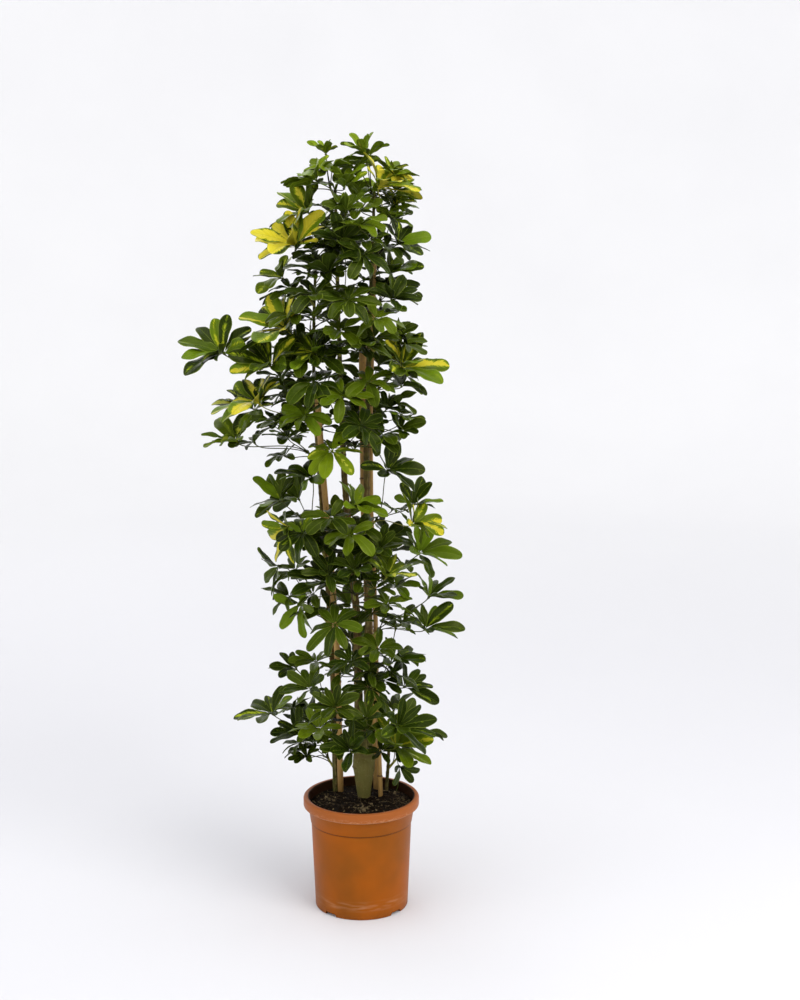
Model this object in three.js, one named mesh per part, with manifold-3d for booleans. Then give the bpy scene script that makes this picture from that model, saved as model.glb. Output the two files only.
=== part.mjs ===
// Potted umbrella plant, 1.78 m tall: variegated leaves on three rooted stems, tied to bamboo canes
// in a nursery pot. Millimetres, +Z up, -Y to the front, origin at the centre of the pot's foot.
import * as THREE from "three";
import { mergeVertices } from "three/addons/utils/BufferGeometryUtils.js";
import Module from "manifold-3d";

const wasm = await Module();
wasm.setup();

// Clearance between pieces that touch
const GAP = 0.3;

// Pot: radii and heights of its moulded wall
const POT_HEIGHT = 267;
const POT_WALL = 3;
const POT_FLOOR = 3.5;
const POT_FOOT = { radius: 108.5, z: 0 };
const POT_BODY = { radius: 117, z: 205 };
const POT_SHOULDER = { radius: 124, z: 240 };
const POT_STEP = 1.5;
const RIM_RADIUS = 135;
const RIM_DEPTH = 24;
const RIM_ROUND = 6;
const RIM_WIDTH = 12;
const POT_SIDES = 32;
const NOTCH = { width: 33, height: 8, depth: 22, count: 4, turn: 4 };

// Soil: the compost's level at the wall and how high it is heaped
const SOIL_LEVEL = 247;
const SOIL_HEAP = 5;
const SOIL_RINGS = [0.5];

// Bamboo canes: centre lines from foot to top, a radius, the height of the first joint that shows
// above the soil and the spacing of the joints
const CANES = {
  cane_left: {
    radius: 7,
    joints: { from: 352, every: 172 },
    path: [[-48, 64, 14], [-50, 64, 250], [-56, 60, 594], [-68, 60, 790], [-88, 60, 1047],
      [-97, 60, 1195]],
  },
  cane_right: {
    radius: 5.5,
    joints: { from: 300, every: 205 },
    path: [[47, 32, 14], [45, 32, 250], [36, 40, 513], [34, 45, 668], [24, 50, 934],
      [23, 55, 1160], [33, 48, 1500]],
  },
  cane_back: {
    radius: 9,
    joints: { from: 434, every: 190 },
    path: [[38, 86, 14], [36, 85, 296], [23, 80, 486], [18, 80, 659], [8, 78, 940],
      [6, 70, 1291], [6, 69, 1330]],
  },
};

const JOINT_REACH = 5;
const JOINT_SWELL = 1.3;

// Stems: centre lines upward from the root, with the radius at the foot and at the tip
const STEMS = {
  left: {
    radii: [7.5, 3],
    path: [[-60, 76, 110], [-62, 75, 250], [-69, 74, 593], [-84, 73, 850], [-98, 72, 1060],
      [-106, 68, 1200], [-103, 60, 1389], [-98, 55, 1500]],
  },
  middle: {
    radii: [11, 3],
    path: [[2, 27, 300], [-6, 40, 450], [-9, 55, 672], [-24, 64, 850], [-38, 70, 1010], [-44, 70, 1180],
      [-49, 62, 1400], [-53, 50, 1655]],
  },
  right: {
    radii: [11, 3],
    path: [[11, 27, 300], [16, 30, 450], [18, 33, 690], [15, 31, 900], [14, 30, 1075], [22, 28, 1350],
      [34, 28, 1650]],
  },
  low: {
    radii: [5, 3],
    path: [[56, 76, 150], [58, 78, 250], [64, 84, 330], [62, 90, 400]],
  },
};
const STOCK = {
  radii: [7, 27],
  path: [[6, 26, 200], [6, 26, 250], [6, 27, 335]],
};
const STEM_SIDES = 6;
const STEM_SIDE = new THREE.Vector3(1, 0.2, 0);

// Ties: the cane and the stem that each one holds together, and its height
const TIES = {
  tie_left_low: ["cane_left", "left", 430],
  tie_left: ["cane_left", "left", 862],
  tie_left_high: ["cane_left", "left", 1120],
  tie_right: ["cane_right", "right", 596],
  tie_right_high: ["cane_right", "right", 1205],
};
const TIE_HEIGHT = 7;
const TIE_THICKNESS = 1.4;
const TIE_SLACK = 0.7;
const TIE_SEGMENTS = 2;

// How a leaf is carried, in degrees: its blade's lean away from the stem, its leaflets' rise at the
// hub and how far they curl down towards the tip. A bigger leaf has more leaflets.
const HABITS = {
  fan: { lean: 14, rise: 58, curl: 30 },
  open: { lean: 32, rise: 48, curl: 30 },
  reach: { lean: 38, rise: 45, curl: 32 },
  hand: { lean: 20, rise: 30, curl: 44 },
  star: { lean: 28, rise: 22, curl: 46 },
  droop: { lean: 105, rise: 40, curl: 22 },
};
const LEAFLETS = { least: 5, most: 7, lengthEach: 19 };

// Leaflets are measured where they are seen a little end on, so they are longer by this share
const FORESHORTENED = 1.08;

// The compass direction that a leaf leans in, in degrees from the plant's right
const FACINGS = { right: -35, front: -90, left: -145 };

// Leafy shoots: the stem and height that each grows from, and for each leaf its hub, the length of
// its leaflets, its habit and the way it faces, which is away from the stem if none is given. Hubs
// are read off the plant's front; those with y over 90 are behind.
const SHOOTS = {
  crown_tip: ["right", 1625, [14, 30, 1736, 66, "fan"], [66, 50, 1690, 60, "fan"]],
  crown_gold: ["right", 1575, [44, -12, 1662, 102, "open", "right"], [76, 62, 1622, 62, "reach", "right"]],
  crown_peak: ["middle", 1640,
    [-73, 42, 1736, 48, "fan"], [-93, 8, 1680, 84, "open", "left"], [-32, -5, 1662, 76, "fan"]],
  crown_back: ["middle", 1590, [-15, 112, 1635, 80, "fan"], [-95, 115, 1560, 82, "open"]],
  crown_left: ["middle", 1530,
    [-110, 42, 1596, 104, "open", "left"], [-136, -20, 1536, 118, "open", "left"]],
  crown_right: ["right", 1500,
    [2, -84, 1586, 78, "hand"], [84, 18, 1540, 86, "reach", "right"], [72, 62, 1598, 52, "reach", "right"]],
  crown_front: ["middle", 1455,
    [-38, -62, 1548, 85, "open", "front"], [10, -90, 1522, 78, "star"], [-28, -55, 1610, 74, "fan"]],
  crown_low: ["left", 1400, [-66, -40, 1480, 98, "open", "left"], [-172, 58, 1462, 78, "reach", "left"]],
  crown_side: ["right", 1390, [66, 25, 1466, 80, "reach", "right"],
    [72, -20, 1420, 78, "reach", "right"], [36, 122, 1505, 72, "hand"]],
  crown_star: ["middle", 1350, [-22, -112, 1426, 88, "star"], [-90, -90, 1425, 82, "hand"]],
  crown_nape: ["middle", 1400, [-38, 140, 1520, 86, "open"], [40, 135, 1480, 86, "hand"]],
  crown_rear: ["left", 1320, [-95, 132, 1410, 90, "hand"], [-165, 100, 1370, 85, "reach"]],
  mid_brow: ["right", 1290,
    [38, -88, 1385, 78, "star"], [80, 30, 1336, 72, "reach", "right"], [48, 122, 1375, 76, "hand"]],
  mid_gold: ["left", 1270, [-160, -20, 1355, 120, "reach", "left"], [-96, -60, 1315, 86, "open", "left"]],
  mid_far: ["left", 1210, [-304, 20, 1298, 114, "reach", "left"], [-185, -60, 1270, 112, "reach", "left"]],
  mid_front: ["middle", 1285, [-42, -100, 1360, 82, "star"], [5, -92, 1330, 80, "star"]],
  mid_right: ["right", 1190, [95, -22, 1270, 112, "reach", "right"], [104, 112, 1236, 76, "reach", "right"]],
  mid_heart: ["middle", 1160, [-95, -80, 1245, 86, "star"], [-36, -110, 1220, 82, "star"]],
  mid_side: ["right", 1110,
    [20, -80, 1245, 78, "star"], [60, 0, 1175, 62, "reach", "right"], [88, -20, 1130, 62, "open", "right"]],
  mid_streak: ["left", 1100, [-220, -50, 1194, 112, "reach", "left"], [-120, -70, 1170, 72, "star"]],
  mid_reach: ["left", 1040, [-236, 70, 1146, 100, "reach", "left"], [-276, 0, 1100, 100, "reach", "left"]],
  mid_rear: ["left", 1130, [-140, 122, 1200, 95, "reach"], [-70, 118, 1262, 90, "hand"]],
  mid_back: ["middle", 1080, [-25, 132, 1155, 90, "hand"], [45, 138, 1250, 90, "open"]],
  mid_foot: ["middle", 1060,
    [5, -90, 1150, 76, "star"], [-60, -62, 1090, 78, "star"], [8, 118, 1075, 84, "reach"]],
  waist_left: ["left", 860, [-178, 0, 966, 90, "reach", "left"],
    [-145, 122, 945, 90, "reach"], [-112, 5, 1000, 92, "open", "left"]],
  waist_gold: ["left", 815, [-158, -60, 896, 90, "droop", "left"], [-126, -80, 908, 78, "star"]],
  waist_star: ["middle", 880, [-62, -110, 948, 74, "star"], [-15, -72, 965, 88, "open", "right"]],
  waist_right: ["right", 890, [62, -10, 1036, 92, "reach", "right"],
    [120, 22, 950, 84, "open", "right"], [117, -60, 924, 96, "reach", "right"]],
  waist_front: ["middle", 800, [-20, -110, 910, 72, "star"], [-85, -40, 870, 70, "hand"]],
  waist_pair: ["right", 745, [134, 40, 834, 104, "reach", "right"],
    [45, -70, 870, 74, "open", "front"], [60, -100, 812, 92, "open", "right"]],
  waist_low: ["middle", 715, [-10, -110, 830, 68, "open", "front"], [-70, -100, 825, 72, "open", "front"]],
  waist_rear: ["left", 655, [-190, 40, 805, 82, "droop", "left"],
    [-138, 20, 722, 86, "droop", "left"], [-95, 130, 750, 90, "open"]],
  waist_reach: ["right", 630,
    [157, 20, 736, 86, "open", "right"], [148, -10, 668, 92, "open", "right"], [62, -62, 738, 76, "hand"]],
  waist_back: ["middle", 760,
    [-50, 140, 890, 90, "open"], [20, 142, 745, 90, "hand"], [55, 138, 850, 88, "reach"]],
  waist_foot: ["middle", 610,
    [-70, -40, 785, 104, "reach", "left"], [-55, -90, 700, 84, "star"], [-30, 124, 690, 86, "reach"]],
  knee_right: ["right", 500,
    [70, -20, 598, 84, "reach", "right"], [100, 10, 524, 84, "open", "right"], [78, 92, 640, 62, "hand"]],
  knee_left: ["left", 450, [-150, 50, 552, 72, "reach", "left"],
    [-100, 10, 580, 66, "hand"], [-112, -60, 540, 82, "reach", "left"]],
  knee_front: ["middle", 520, [40, -60, 635, 72, "hand"], [-20, -80, 610, 68, "hand"]],
  knee_back: ["middle", 500, [-25, 132, 600, 88, "reach"], [55, 128, 650, 84, "hand"]],
  foot_star: ["middle", 400,
    [-55, -120, 515, 82, "open", "front"], [-95, -75, 450, 80, "hand"], [30, -60, 545, 76, "star"]],
  foot_right: ["right", 390, [15, -130, 490, 72, "open", "front"], [79, -90, 464, 106, "open", "right"]],
  foot_front: ["right", 345, [-20, -112, 410, 90, "open", "front"], [82, -70, 394, 106, "reach", "right"]],
  foot_left: ["left", 345, [-206, 20, 456, 96, "reach", "left"], [-140, 10, 408, 80, "open", "left"]],
  foot_rear: ["left", 300,
    [-130, 40, 352, 50, "reach", "left"], [-120, 110, 415, 90, "reach"], [-50, 128, 460, 90, "hand"]],
  foot_low: ["low", 300, [86, 50, 308, 64, "droop", "right"], [75, 125, 430, 88, "open"]],
};
const SHOOT_LENGTH = 26;
const SHOOT_RADIUS = 3.4;
const SHOOT_SPREAD = 0.9;
const PETIOLE_RADIUS = 1.7;
const PETIOLE_BOW = 0.35;
const PETIOLE_RINGS = [0, 0.5, 1];
const BLADE_THICKNESS = 0.9;
const HUB_RADIUS = 7;

// Leaflet outline: where it is widest along its length, and its half width as a share of its length
const LEAFLET_WIDEST = 0.68;
const LEAFLET_HALF_WIDTH = 0.215;
const LEAFLET_ROOM = 0.44;

// Search for a clear place: a hub moves out on a spiral in steps, and the leaf turns a little
const MOST_MOVES = 120;
const MOVE_STEP = 5;
const GOLDEN_ANGLE = 2.399963;
const MOVE_SPIN = 25;

const COLOURS = {
  pot: [0xb0602c, 0.5],
  soil: [0x33261d, 0.95],
  cane: [0xb58850, 0.6],
  stem: [0x6d6238, 0.8],
  tie: [0x2a2c26, 0.6],
  leaf: [0x46702a, 0.35],
  gold: [0xb9a838, 0.35],
};
const GOLD_SHOOTS = new Set(["crown_gold", "crown_left", "mid_gold", "mid_far", "mid_streak", "mid_right",
  "waist_gold", "waist_right", "foot_right", "foot_front"]);

const UP = new THREE.Vector3(0, 0, 1);
const vector = (point) => new THREE.Vector3(...point);
const radians = THREE.MathUtils.degToRad;

// Park-Miller draws between 0 and 1
function draws(seed) {
  let state = seed;
  return () => {
    state = (state * 16807) % 2147483647;
    return state / 2147483647;
  };
}

function leafSeed(shoot, order) {
  return 101 + 7 * shoot + order;
}

// A closed mesh as a solid, its collapsed faces left out
function closedMesh(vertices, triangles) {
  const kept = [];
  for (let i = 0; i < triangles.length; i += 3) {
    const [a, b, c] = [triangles[i], triangles[i + 1], triangles[i + 2]];
    if (a !== b && b !== c && c !== a) kept.push(a, b, c);
  }
  const mesh = new wasm.Mesh({
    numProp: 3,
    vertProperties: new Float32Array(vertices),
    triVerts: new Uint32Array(kept),
  });
  return new wasm.Manifold(mesh);
}

// A closed geometry as a solid, its shared vertices merged
function solidOf(geometry) {
  const bare = new THREE.BufferGeometry();
  bare.setAttribute("position", geometry.getAttribute("position"));
  bare.setIndex(geometry.index);
  const merged = mergeVertices(bare, 1e-4);
  return closedMesh(merged.attributes.position.array, merged.index.array);
}

function geometryOf(solid) {
  const mesh = solid.getMesh();
  const geometry = new THREE.BufferGeometry();
  geometry.setAttribute("position", new THREE.BufferAttribute(mesh.vertProperties, 3));
  geometry.setIndex(new THREE.BufferAttribute(mesh.triVerts, 1));
  geometry.computeVertexNormals();
  return geometry;
}

// The biggest of a solid's separate bodies
function mainBody(solid) {
  return solid.decompose().sort((a, b) => b.volume() - a.volume())[0];
}

// The point of a centre line at a height
function pointAt(path, z) {
  const above = Math.max(1, path.findIndex((point) => point[2] > z));
  const [low, high] = [path[above - 1], path[above]];
  return vector(low).lerp(vector(high), (z - low[2]) / (high[2] - low[2]));
}

// A stem's radius at a height
function radiusAt({ radii, path }, z) {
  const [foot, tip] = [path[0][2], path[path.length - 1][2]];
  return THREE.MathUtils.lerp(...radii, (z - foot) / (tip - foot));
}

// A straight-edged centre line as a curve, and the share of its length at each of its points
function lineThrough(path) {
  const line = new THREE.CurvePath();
  for (let i = 1; i < path.length; i++) {
    line.add(new THREE.LineCurve3(vector(path[i - 1]), vector(path[i])));
  }
  const lengths = line.getCurveLengths();
  const total = lengths[lengths.length - 1];
  return { line, total, shares: [0, ...lengths.map((length) => length / total)] };
}

// A turned profile of [share of the curve, radius], bent onto the curve
function turnedAlong(curve, profile, sides, side) {
  const points = [[profile[0][0], 0], ...profile, [profile[profile.length - 1][0], 0]];
  const outline = points.map(([share, radius]) => new THREE.Vector2(radius, share));
  const geometry = new THREE.LatheGeometry(outline, sides);
  const position = geometry.getAttribute("position");
  for (let i = 0; i < position.count; i++) {
    const share = position.getY(i);
    const inside = THREE.MathUtils.clamp(share, 0, 1);
    const tangent = curve.getTangent(inside);
    const across = side.clone().addScaledVector(tangent, -side.dot(tangent)).normalize();
    const third = across.clone().cross(tangent);
    const place = curve.getPoint(inside).addScaledVector(tangent, (share - inside) * curve.getLength());
    place.addScaledVector(across, position.getX(i)).addScaledVector(third, position.getZ(i));
    position.setXYZ(i, place.x, place.y, place.z);
  }
  return solidOf(geometry);
}

// A stem: tapers from root to tip, with a ring at each bend of its centre line
function stemSolid({ radii, path }, grown = 0) {
  const { line, total, shares } = lineThrough(path);
  const profile = shares.map((share) => [share, THREE.MathUtils.lerp(...radii, share) + grown]);
  profile[0][0] -= grown / total;
  profile[profile.length - 1][0] += grown / total;
  return turnedAlong(line, profile, STEM_SIDES, STEM_SIDE);
}

// A bamboo cane: a straight pole with a swollen ring at each joint
function caneSolid({ radius, joints, path }, grown = 0) {
  const { line, total, shares } = lineThrough(path);
  const profile = shares.map((share) => [share, radius + grown]);
  profile[0][0] -= grown / total;
  profile[profile.length - 1][0] += grown / total;
  const [foot, top] = [path[0][2], path[path.length - 1][2]];
  for (let z = joints.from; z < top - JOINT_REACH; z += joints.every) {
    for (const [offset, swell] of [[-JOINT_REACH, 0], [0, JOINT_SWELL], [JOINT_REACH, 0]]) {
      profile.push([(z + offset - foot) / (top - foot), radius + swell + grown]);
    }
  }
  profile.sort((a, b) => a[0] - b[0]);
  return turnedAlong(line, profile, STEM_SIDES, STEM_SIDE);
}

// The middle root stock with its two leaders
function trunkSolid(grown = 0) {
  return stemSolid(STOCK, grown).add(stemSolid(STEMS.middle, grown)).add(stemSolid(STEMS.right, grown));
}

// Pot wall as one turned profile that closes on the axis, with drainage notches cut through its foot
function potSolid() {
  const rimFoot = POT_HEIGHT - RIM_DEPTH;
  const rimInner = RIM_RADIUS - RIM_WIDTH;
  const profile = [
    [0, 0],
    [POT_FOOT.radius - 2, 0],
    [POT_FOOT.radius, 3],
    [POT_BODY.radius, POT_BODY.z],
    [POT_BODY.radius + POT_STEP, POT_BODY.z + 1],
    [POT_SHOULDER.radius, POT_SHOULDER.z],
    [RIM_RADIUS - 3, rimFoot],
    [RIM_RADIUS, rimFoot + 3],
    [RIM_RADIUS, POT_HEIGHT - RIM_ROUND],
    [RIM_RADIUS - 2, POT_HEIGHT - 2],
    [RIM_RADIUS - RIM_ROUND, POT_HEIGHT],
    [rimInner, POT_HEIGHT - 2],
    [POT_SHOULDER.radius - POT_WALL, POT_SHOULDER.z],
    [POT_BODY.radius - POT_WALL, POT_BODY.z],
    [POT_FOOT.radius - POT_WALL, POT_FLOOR],
    [0, POT_FLOOR],
  ];
  const outline = profile.map(([radius, z]) => new THREE.Vector2(radius, z));
  let pot = solidOf(new THREE.LatheGeometry(outline, POT_SIDES).rotateX(Math.PI / 2));
  for (let i = 0; i < NOTCH.count; i++) {
    const notch = new THREE.BoxGeometry(NOTCH.width, NOTCH.depth, NOTCH.height * 2);
    notch.translate(0, -POT_FOOT.radius, 0);
    notch.rotateZ(((i + 0.5) * 2 * Math.PI) / NOTCH.count + radians(NOTCH.turn));
    pot = pot.subtract(solidOf(notch));
  }
  return pot;
}

// Compost: fills the pot to a gently heaped top, with a hole for each thing that stands in it
function soilSolid() {
  const brim = POT_SHOULDER.radius - POT_WALL - GAP;
  const rings = SOIL_RINGS.map((share) => [brim * share, SOIL_LEVEL + SOIL_HEAP * (1 - share * share)]);
  const profile = [
    [0, POT_FLOOR + GAP],
    [POT_FOOT.radius - POT_WALL - 2 * GAP, POT_FLOOR + GAP],
    [POT_BODY.radius - POT_WALL - GAP, POT_BODY.z],
    [brim, POT_SHOULDER.z],
    [brim, SOIL_LEVEL],
    ...rings,
    [0, SOIL_LEVEL + SOIL_HEAP],
  ];
  const outline = profile.map(([radius, z]) => new THREE.Vector2(radius, z));
  let soil = solidOf(new THREE.LatheGeometry(outline, POT_SIDES).rotateX(Math.PI / 2));
  for (const { radius, path } of Object.values(CANES)) {
    soil = soil.subtract(stemSolid({ radii: [radius, radius], path: path.slice(0, 3) }, GAP));
  }
  for (const stem of [STOCK, STEMS.left, STEMS.low]) soil = soil.subtract(stemSolid(stem, GAP));
  return soil;
}

// A tie: a flat band pulled round a cane and a stem
function tieSolid([caneName, stemName, z]) {
  const cane = CANES[caneName];
  const stem = STEMS[stemName];
  const [near, far] = [pointAt(cane.path, z), pointAt(stem.path, z)];
  const lean = pointAt(cane.path, z + TIE_HEIGHT).sub(near).normalize();
  const gap = new THREE.Vector2(far.x - near.x, far.y - near.y);
  const turn = gap.angle();
  const stemRadius = radiusAt(stem, z);
  const band = (spread) => {
    const shape = new THREE.Shape();
    const [round, back] = [Math.cos(Math.PI / (4 * TIE_SEGMENTS)), Math.PI / 2];
    shape.absarc(0, 0, (cane.radius + spread) / round, turn + back, turn + 3 * back);
    shape.absarc(gap.x, gap.y, (stemRadius + spread) / round, turn - back, turn + back);
    return shape;
  };
  const outline = band(TIE_SLACK + TIE_THICKNESS);
  outline.holes.push(band(TIE_SLACK));
  const settings = { depth: TIE_HEIGHT, bevelEnabled: false, curveSegments: TIE_SEGMENTS };
  const geometry = new THREE.ExtrudeGeometry(outline, settings);
  geometry.translate(0, 0, -TIE_HEIGHT / 2);
  geometry.applyMatrix4(new THREE.Matrix4().makeShear(0, 0, 0, 0, lean.x / lean.z, lean.y / lean.z));
  geometry.translate(near.x, near.y, near.z);
  return solidOf(geometry);
}

// A leafy shoot's root on its stem, the way it grows and where it ends
function shootPlan([stemName, height, ...leaves]) {
  const stem = STEMS[stemName];
  const root = pointAt(stem.path, height);
  const way = new THREE.Vector3();
  for (const [x, y] of leaves) way.add(new THREE.Vector3(x - root.x, y - root.y, 0).normalize());
  way.normalize().multiplyScalar(SHOOT_SPREAD).add(UP).normalize();
  const end = root.clone().addScaledVector(way, radiusAt(stem, height) + SHOOT_LENGTH);
  return { root, way, end };
}

// Where one leaf of a shoot stands after a number of moves of its hub, and each of its leaflets
function leafPlan(shoot, [x, y, z, seenLength, habitName, facing], seed, moves) {
  const length = seenLength * FORESHORTENED;
  const habit = HABITS[habitName];
  const turn = facing ? radians(FACINGS[facing]) : Math.atan2(y - shoot.root.y, x - shoot.root.x);
  const out = new THREE.Vector3(Math.cos(turn), Math.sin(turn), 0);
  const aside = UP.clone().cross(out);
  const reach = MOVE_STEP * Math.sqrt(moves);
  const hub = new THREE.Vector3(x, y, z)
    .addScaledVector(aside, reach * Math.cos(GOLDEN_ANGLE * moves))
    .addScaledVector(UP, reach * Math.sin(GOLDEN_ANGLE * moves));
  const lean = radians(habit.lean);
  const normal = UP.clone().multiplyScalar(Math.cos(lean)).addScaledVector(out, Math.sin(lean));
  const front = out.clone().multiplyScalar(Math.cos(lean)).addScaledVector(UP, -Math.sin(lean));
  const across = normal.clone().cross(front);
  const draw = draws(seed);
  const spin = radians(MOVE_SPIN * moves) + 2 * draw();
  const full = Math.round(length / LEAFLETS.lengthEach);
  const count = THREE.MathUtils.clamp(full, LEAFLETS.least, LEAFLETS.most);
  const step = (2 * Math.PI) / count;
  const leaflets = [];
  for (let i = 0; i < count; i++) {
    const angle = spin + step * (i + 0.3 * (draw() - 0.5));
    const share = 0.88 + 0.12 * Math.cos(angle) - 0.12 * draw();
    const rise = radians(habit.rise + 10 * (draw() - 0.5));
    leaflets.push({ angle, length: length * share, rise, curl: radians(habit.curl) });
  }
  return { hub, normal, front, across, step, leaflets };
}

// How far out and up a point lies, at a distance along a leaflet that rises and then curls down
function arched({ length, rise, curl }, distance) {
  const bend = (curl * distance) / length;
  const radius = length / curl;
  const outward = radius * (Math.sin(rise) - Math.sin(rise - bend));
  const upward = radius * (Math.cos(rise - bend) - Math.cos(rise));
  return [outward, upward];
}

// Outline of a leaf's blade as [out, aside, up] from its hub: the hub, then for each leaflet the notch
// before it, one shoulder, its tip and the other shoulder
function bladeOutline({ step, leaflets }, grown) {
  const places = [[0, 0, 0]];
  for (const [i, leaflet] of leaflets.entries()) {
    const before = leaflets[(i + leaflets.length - 1) % leaflets.length];
    const turn = THREE.MathUtils.euclideanModulo(leaflet.angle - before.angle, 2 * Math.PI);
    const notch = leaflet.angle - turn / 2;
    const [notchOut, notchUp] = arched(leaflet, HUB_RADIUS + grown);
    const [wideOut, wideUp] = arched(leaflet, LEAFLET_WIDEST * leaflet.length);
    const [tipOut, tipUp] = arched(leaflet, leaflet.length + grown);
    const roomy = wideOut * Math.tan(step * LEAFLET_ROOM);
    const half = Math.min(LEAFLET_HALF_WIDTH * leaflet.length, roomy) + grown;
    const [cos, sin] = [Math.cos(leaflet.angle), Math.sin(leaflet.angle)];
    places.push([notchOut * Math.cos(notch), notchOut * Math.sin(notch), notchUp]);
    places.push([wideOut * cos + half * sin, wideOut * sin - half * cos, wideUp]);
    places.push([tipOut * cos, tipOut * sin, tipUp]);
    places.push([wideOut * cos - half * sin, wideOut * sin + half * cos, wideUp]);
  }
  return places;
}

// A petiole's centre line: it leaves the shoot along it and meets the blade square from below
function petioleCurve(shoot, order, { hub, normal }) {
  const start = shoot.end.clone().addScaledVector(shoot.way, -3 - 5 * order);
  const span = start.distanceTo(hub) * PETIOLE_BOW;
  return new THREE.CubicBezierCurve3(
    start,
    start.clone().addScaledVector(shoot.way, span),
    hub.clone().addScaledVector(normal, -span),
    hub,
  );
}

// A compound leaf in one closed mesh: a thin arched blade whose outline runs round every leaflet, and
// a three-sided petiole that grows from the underside of its hub, or the blade alone without a curve
function leafSolid(leaf, curve, grown = 0) {
  const { hub, normal, front, across, leaflets } = leaf;
  const vertices = [];
  const triangles = [];
  const outline = bladeOutline(leaf, grown);
  const half = BLADE_THICKNESS / 2 + grown;
  const place = (u, v, w) => {
    const point = hub.clone().addScaledVector(front, u).addScaledVector(across, v).addScaledVector(normal, w);
    return vertices.push(...point.toArray()) / 3 - 1;
  };
  const top = outline.map(([u, v, w]) => place(u, v, w + half));
  const under = outline.map(([u, v, w]) => place(u, v, w - half));
  const edge = [];
  const count = leaflets.length;
  for (let i = 0; i < count; i++) {
    const [notch, left, tip, right] = [1, 2, 3, 4].map((k) => 4 * i + k);
    const next = 4 * ((i + 1) % count) + 1;
    edge.push(notch, left, tip, right);
    triangles.push(top[0], top[notch], top[next]);
    for (const [a, b, c] of [[notch, left, right], [notch, right, next], [left, tip, right]]) {
      triangles.push(top[a], top[b], top[c], under[a], under[c], under[b]);
    }
  }
  for (const [i, a] of edge.entries()) {
    const b = edge[(i + 1) % edge.length];
    triangles.push(top[a], under[a], under[b], top[a], under[b], top[b]);
  }

  const rings = (curve ? PETIOLE_RINGS : []).map((share) => {
    const tangent = curve.getTangent(share);
    const centre = curve.getPoint(share).addScaledVector(tangent, share === 1 ? -half : 0);
    const first = across.clone().addScaledVector(tangent, -across.dot(tangent)).normalize();
    const second = tangent.clone().cross(first);
    return [0, 1, 2].map((k) => {
      const turn = leaflets[0].angle + (k * 2 * Math.PI) / 3;
      const point = centre.clone().addScaledVector(first, Math.sin(turn) * (PETIOLE_RADIUS + grown));
      point.addScaledVector(second, -Math.cos(turn) * (PETIOLE_RADIUS + grown));
      return vertices.push(...point.toArray()) / 3 - 1;
    });
  });
  for (let i = 1; i < rings.length; i++) {
    for (let k = 0; k < 3; k++) {
      const [a, b] = [rings[i - 1][k], rings[i - 1][(k + 1) % 3]];
      const [c, d] = [rings[i][k], rings[i][(k + 1) % 3]];
      triangles.push(a, b, d, a, d, c);
    }
  }
  const last = rings.length ? rings[rings.length - 1] : [under[0], under[0], under[0]];
  if (rings.length) triangles.push(rings[0][2], rings[0][1], rings[0][0]);
  for (let k = 0, i = 0; k < 3; k++) {
    const until = Math.round(((k + 1) * count) / 3);
    for (; i < until; i++) {
      triangles.push(last[k], under[4 * ((i + 1) % count) + 1], under[4 * i + 1]);
    }
    triangles.push(last[k], last[(k + 1) % 3], under[4 * (i % count) + 1]);
  }
  return closedMesh(vertices, triangles);
}

// The stub that carries a shoot's petioles, from the middle of its stem out
function shootSolid({ root, end }) {
  const profile = [[0, SHOOT_RADIUS], [1, SHOOT_RADIUS * 0.75]];
  return turnedAlong(new THREE.LineCurve3(root, end), profile, 4, new THREE.Vector3(1, 1, 0));
}

const touches = (a, b) => !a.intersect(b).isEmpty();

function boxesMeet(a, b) {
  return [0, 1, 2].every((k) => a.min[k] <= b.max[k] && b.min[k] <= a.max[k]);
}

// A named piece with its own colour and finish
function piece(name, solid, [colour, roughness]) {
  const material = new THREE.MeshStandardMaterial({ color: colour, roughness, metalness: 0 });
  const mesh = new THREE.Mesh(geometryOf(solid), material);
  mesh.name = name;
  return mesh;
}

const group = new THREE.Group();
const inPlace = [];

// Adds a piece, with a copy grown by the clearance where shoots are cut to it
function setInPlace(name, finish, solid, grown = solid) {
  group.add(piece(name, solid, finish));
  inPlace.push({ owner: name, solid, grown, box: grown.boundingBox() });
}

setInPlace("pot", COLOURS.pot, potSolid());
setInPlace("soil", COLOURS.soil, soilSolid());
setInPlace("trunk", COLOURS.stem, trunkSolid(), trunkSolid(GAP));
setInPlace("stem_left", COLOURS.stem, stemSolid(STEMS.left), stemSolid(STEMS.left, GAP));
setInPlace("stem_low", COLOURS.stem, stemSolid(STEMS.low), stemSolid(STEMS.low, GAP));
for (const [name, cane] of Object.entries(CANES)) {
  setInPlace(name, COLOURS.cane, caneSolid(cane), caneSolid(cane, GAP));
}
for (const [name, row] of Object.entries(TIES)) setInPlace(name, COLOURS.tie, tieSolid(row));

// The pieces in place near a box, apart from one owner's
function near(box, owner) {
  return inPlace.filter((other) => other.owner !== owner && boxesMeet(box, other.box));
}

// Shoot stubs first, cut to the stems that they grow from
const shoots = Object.entries(SHOOTS).map(([name, row]) => {
  const plan = shootPlan(row);
  let stub = shootSolid(plan);
  for (const other of near(stub.boundingBox(), name)) stub = stub.subtract(other.grown);
  return { name, plan, rows: row.slice(2), stub: mainBody(stub), leaves: [] };
});
for (const { name, stub } of shoots) {
  inPlace.push({ owner: name, solid: stub, grown: stub, box: stub.boundingBox() });
}

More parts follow.
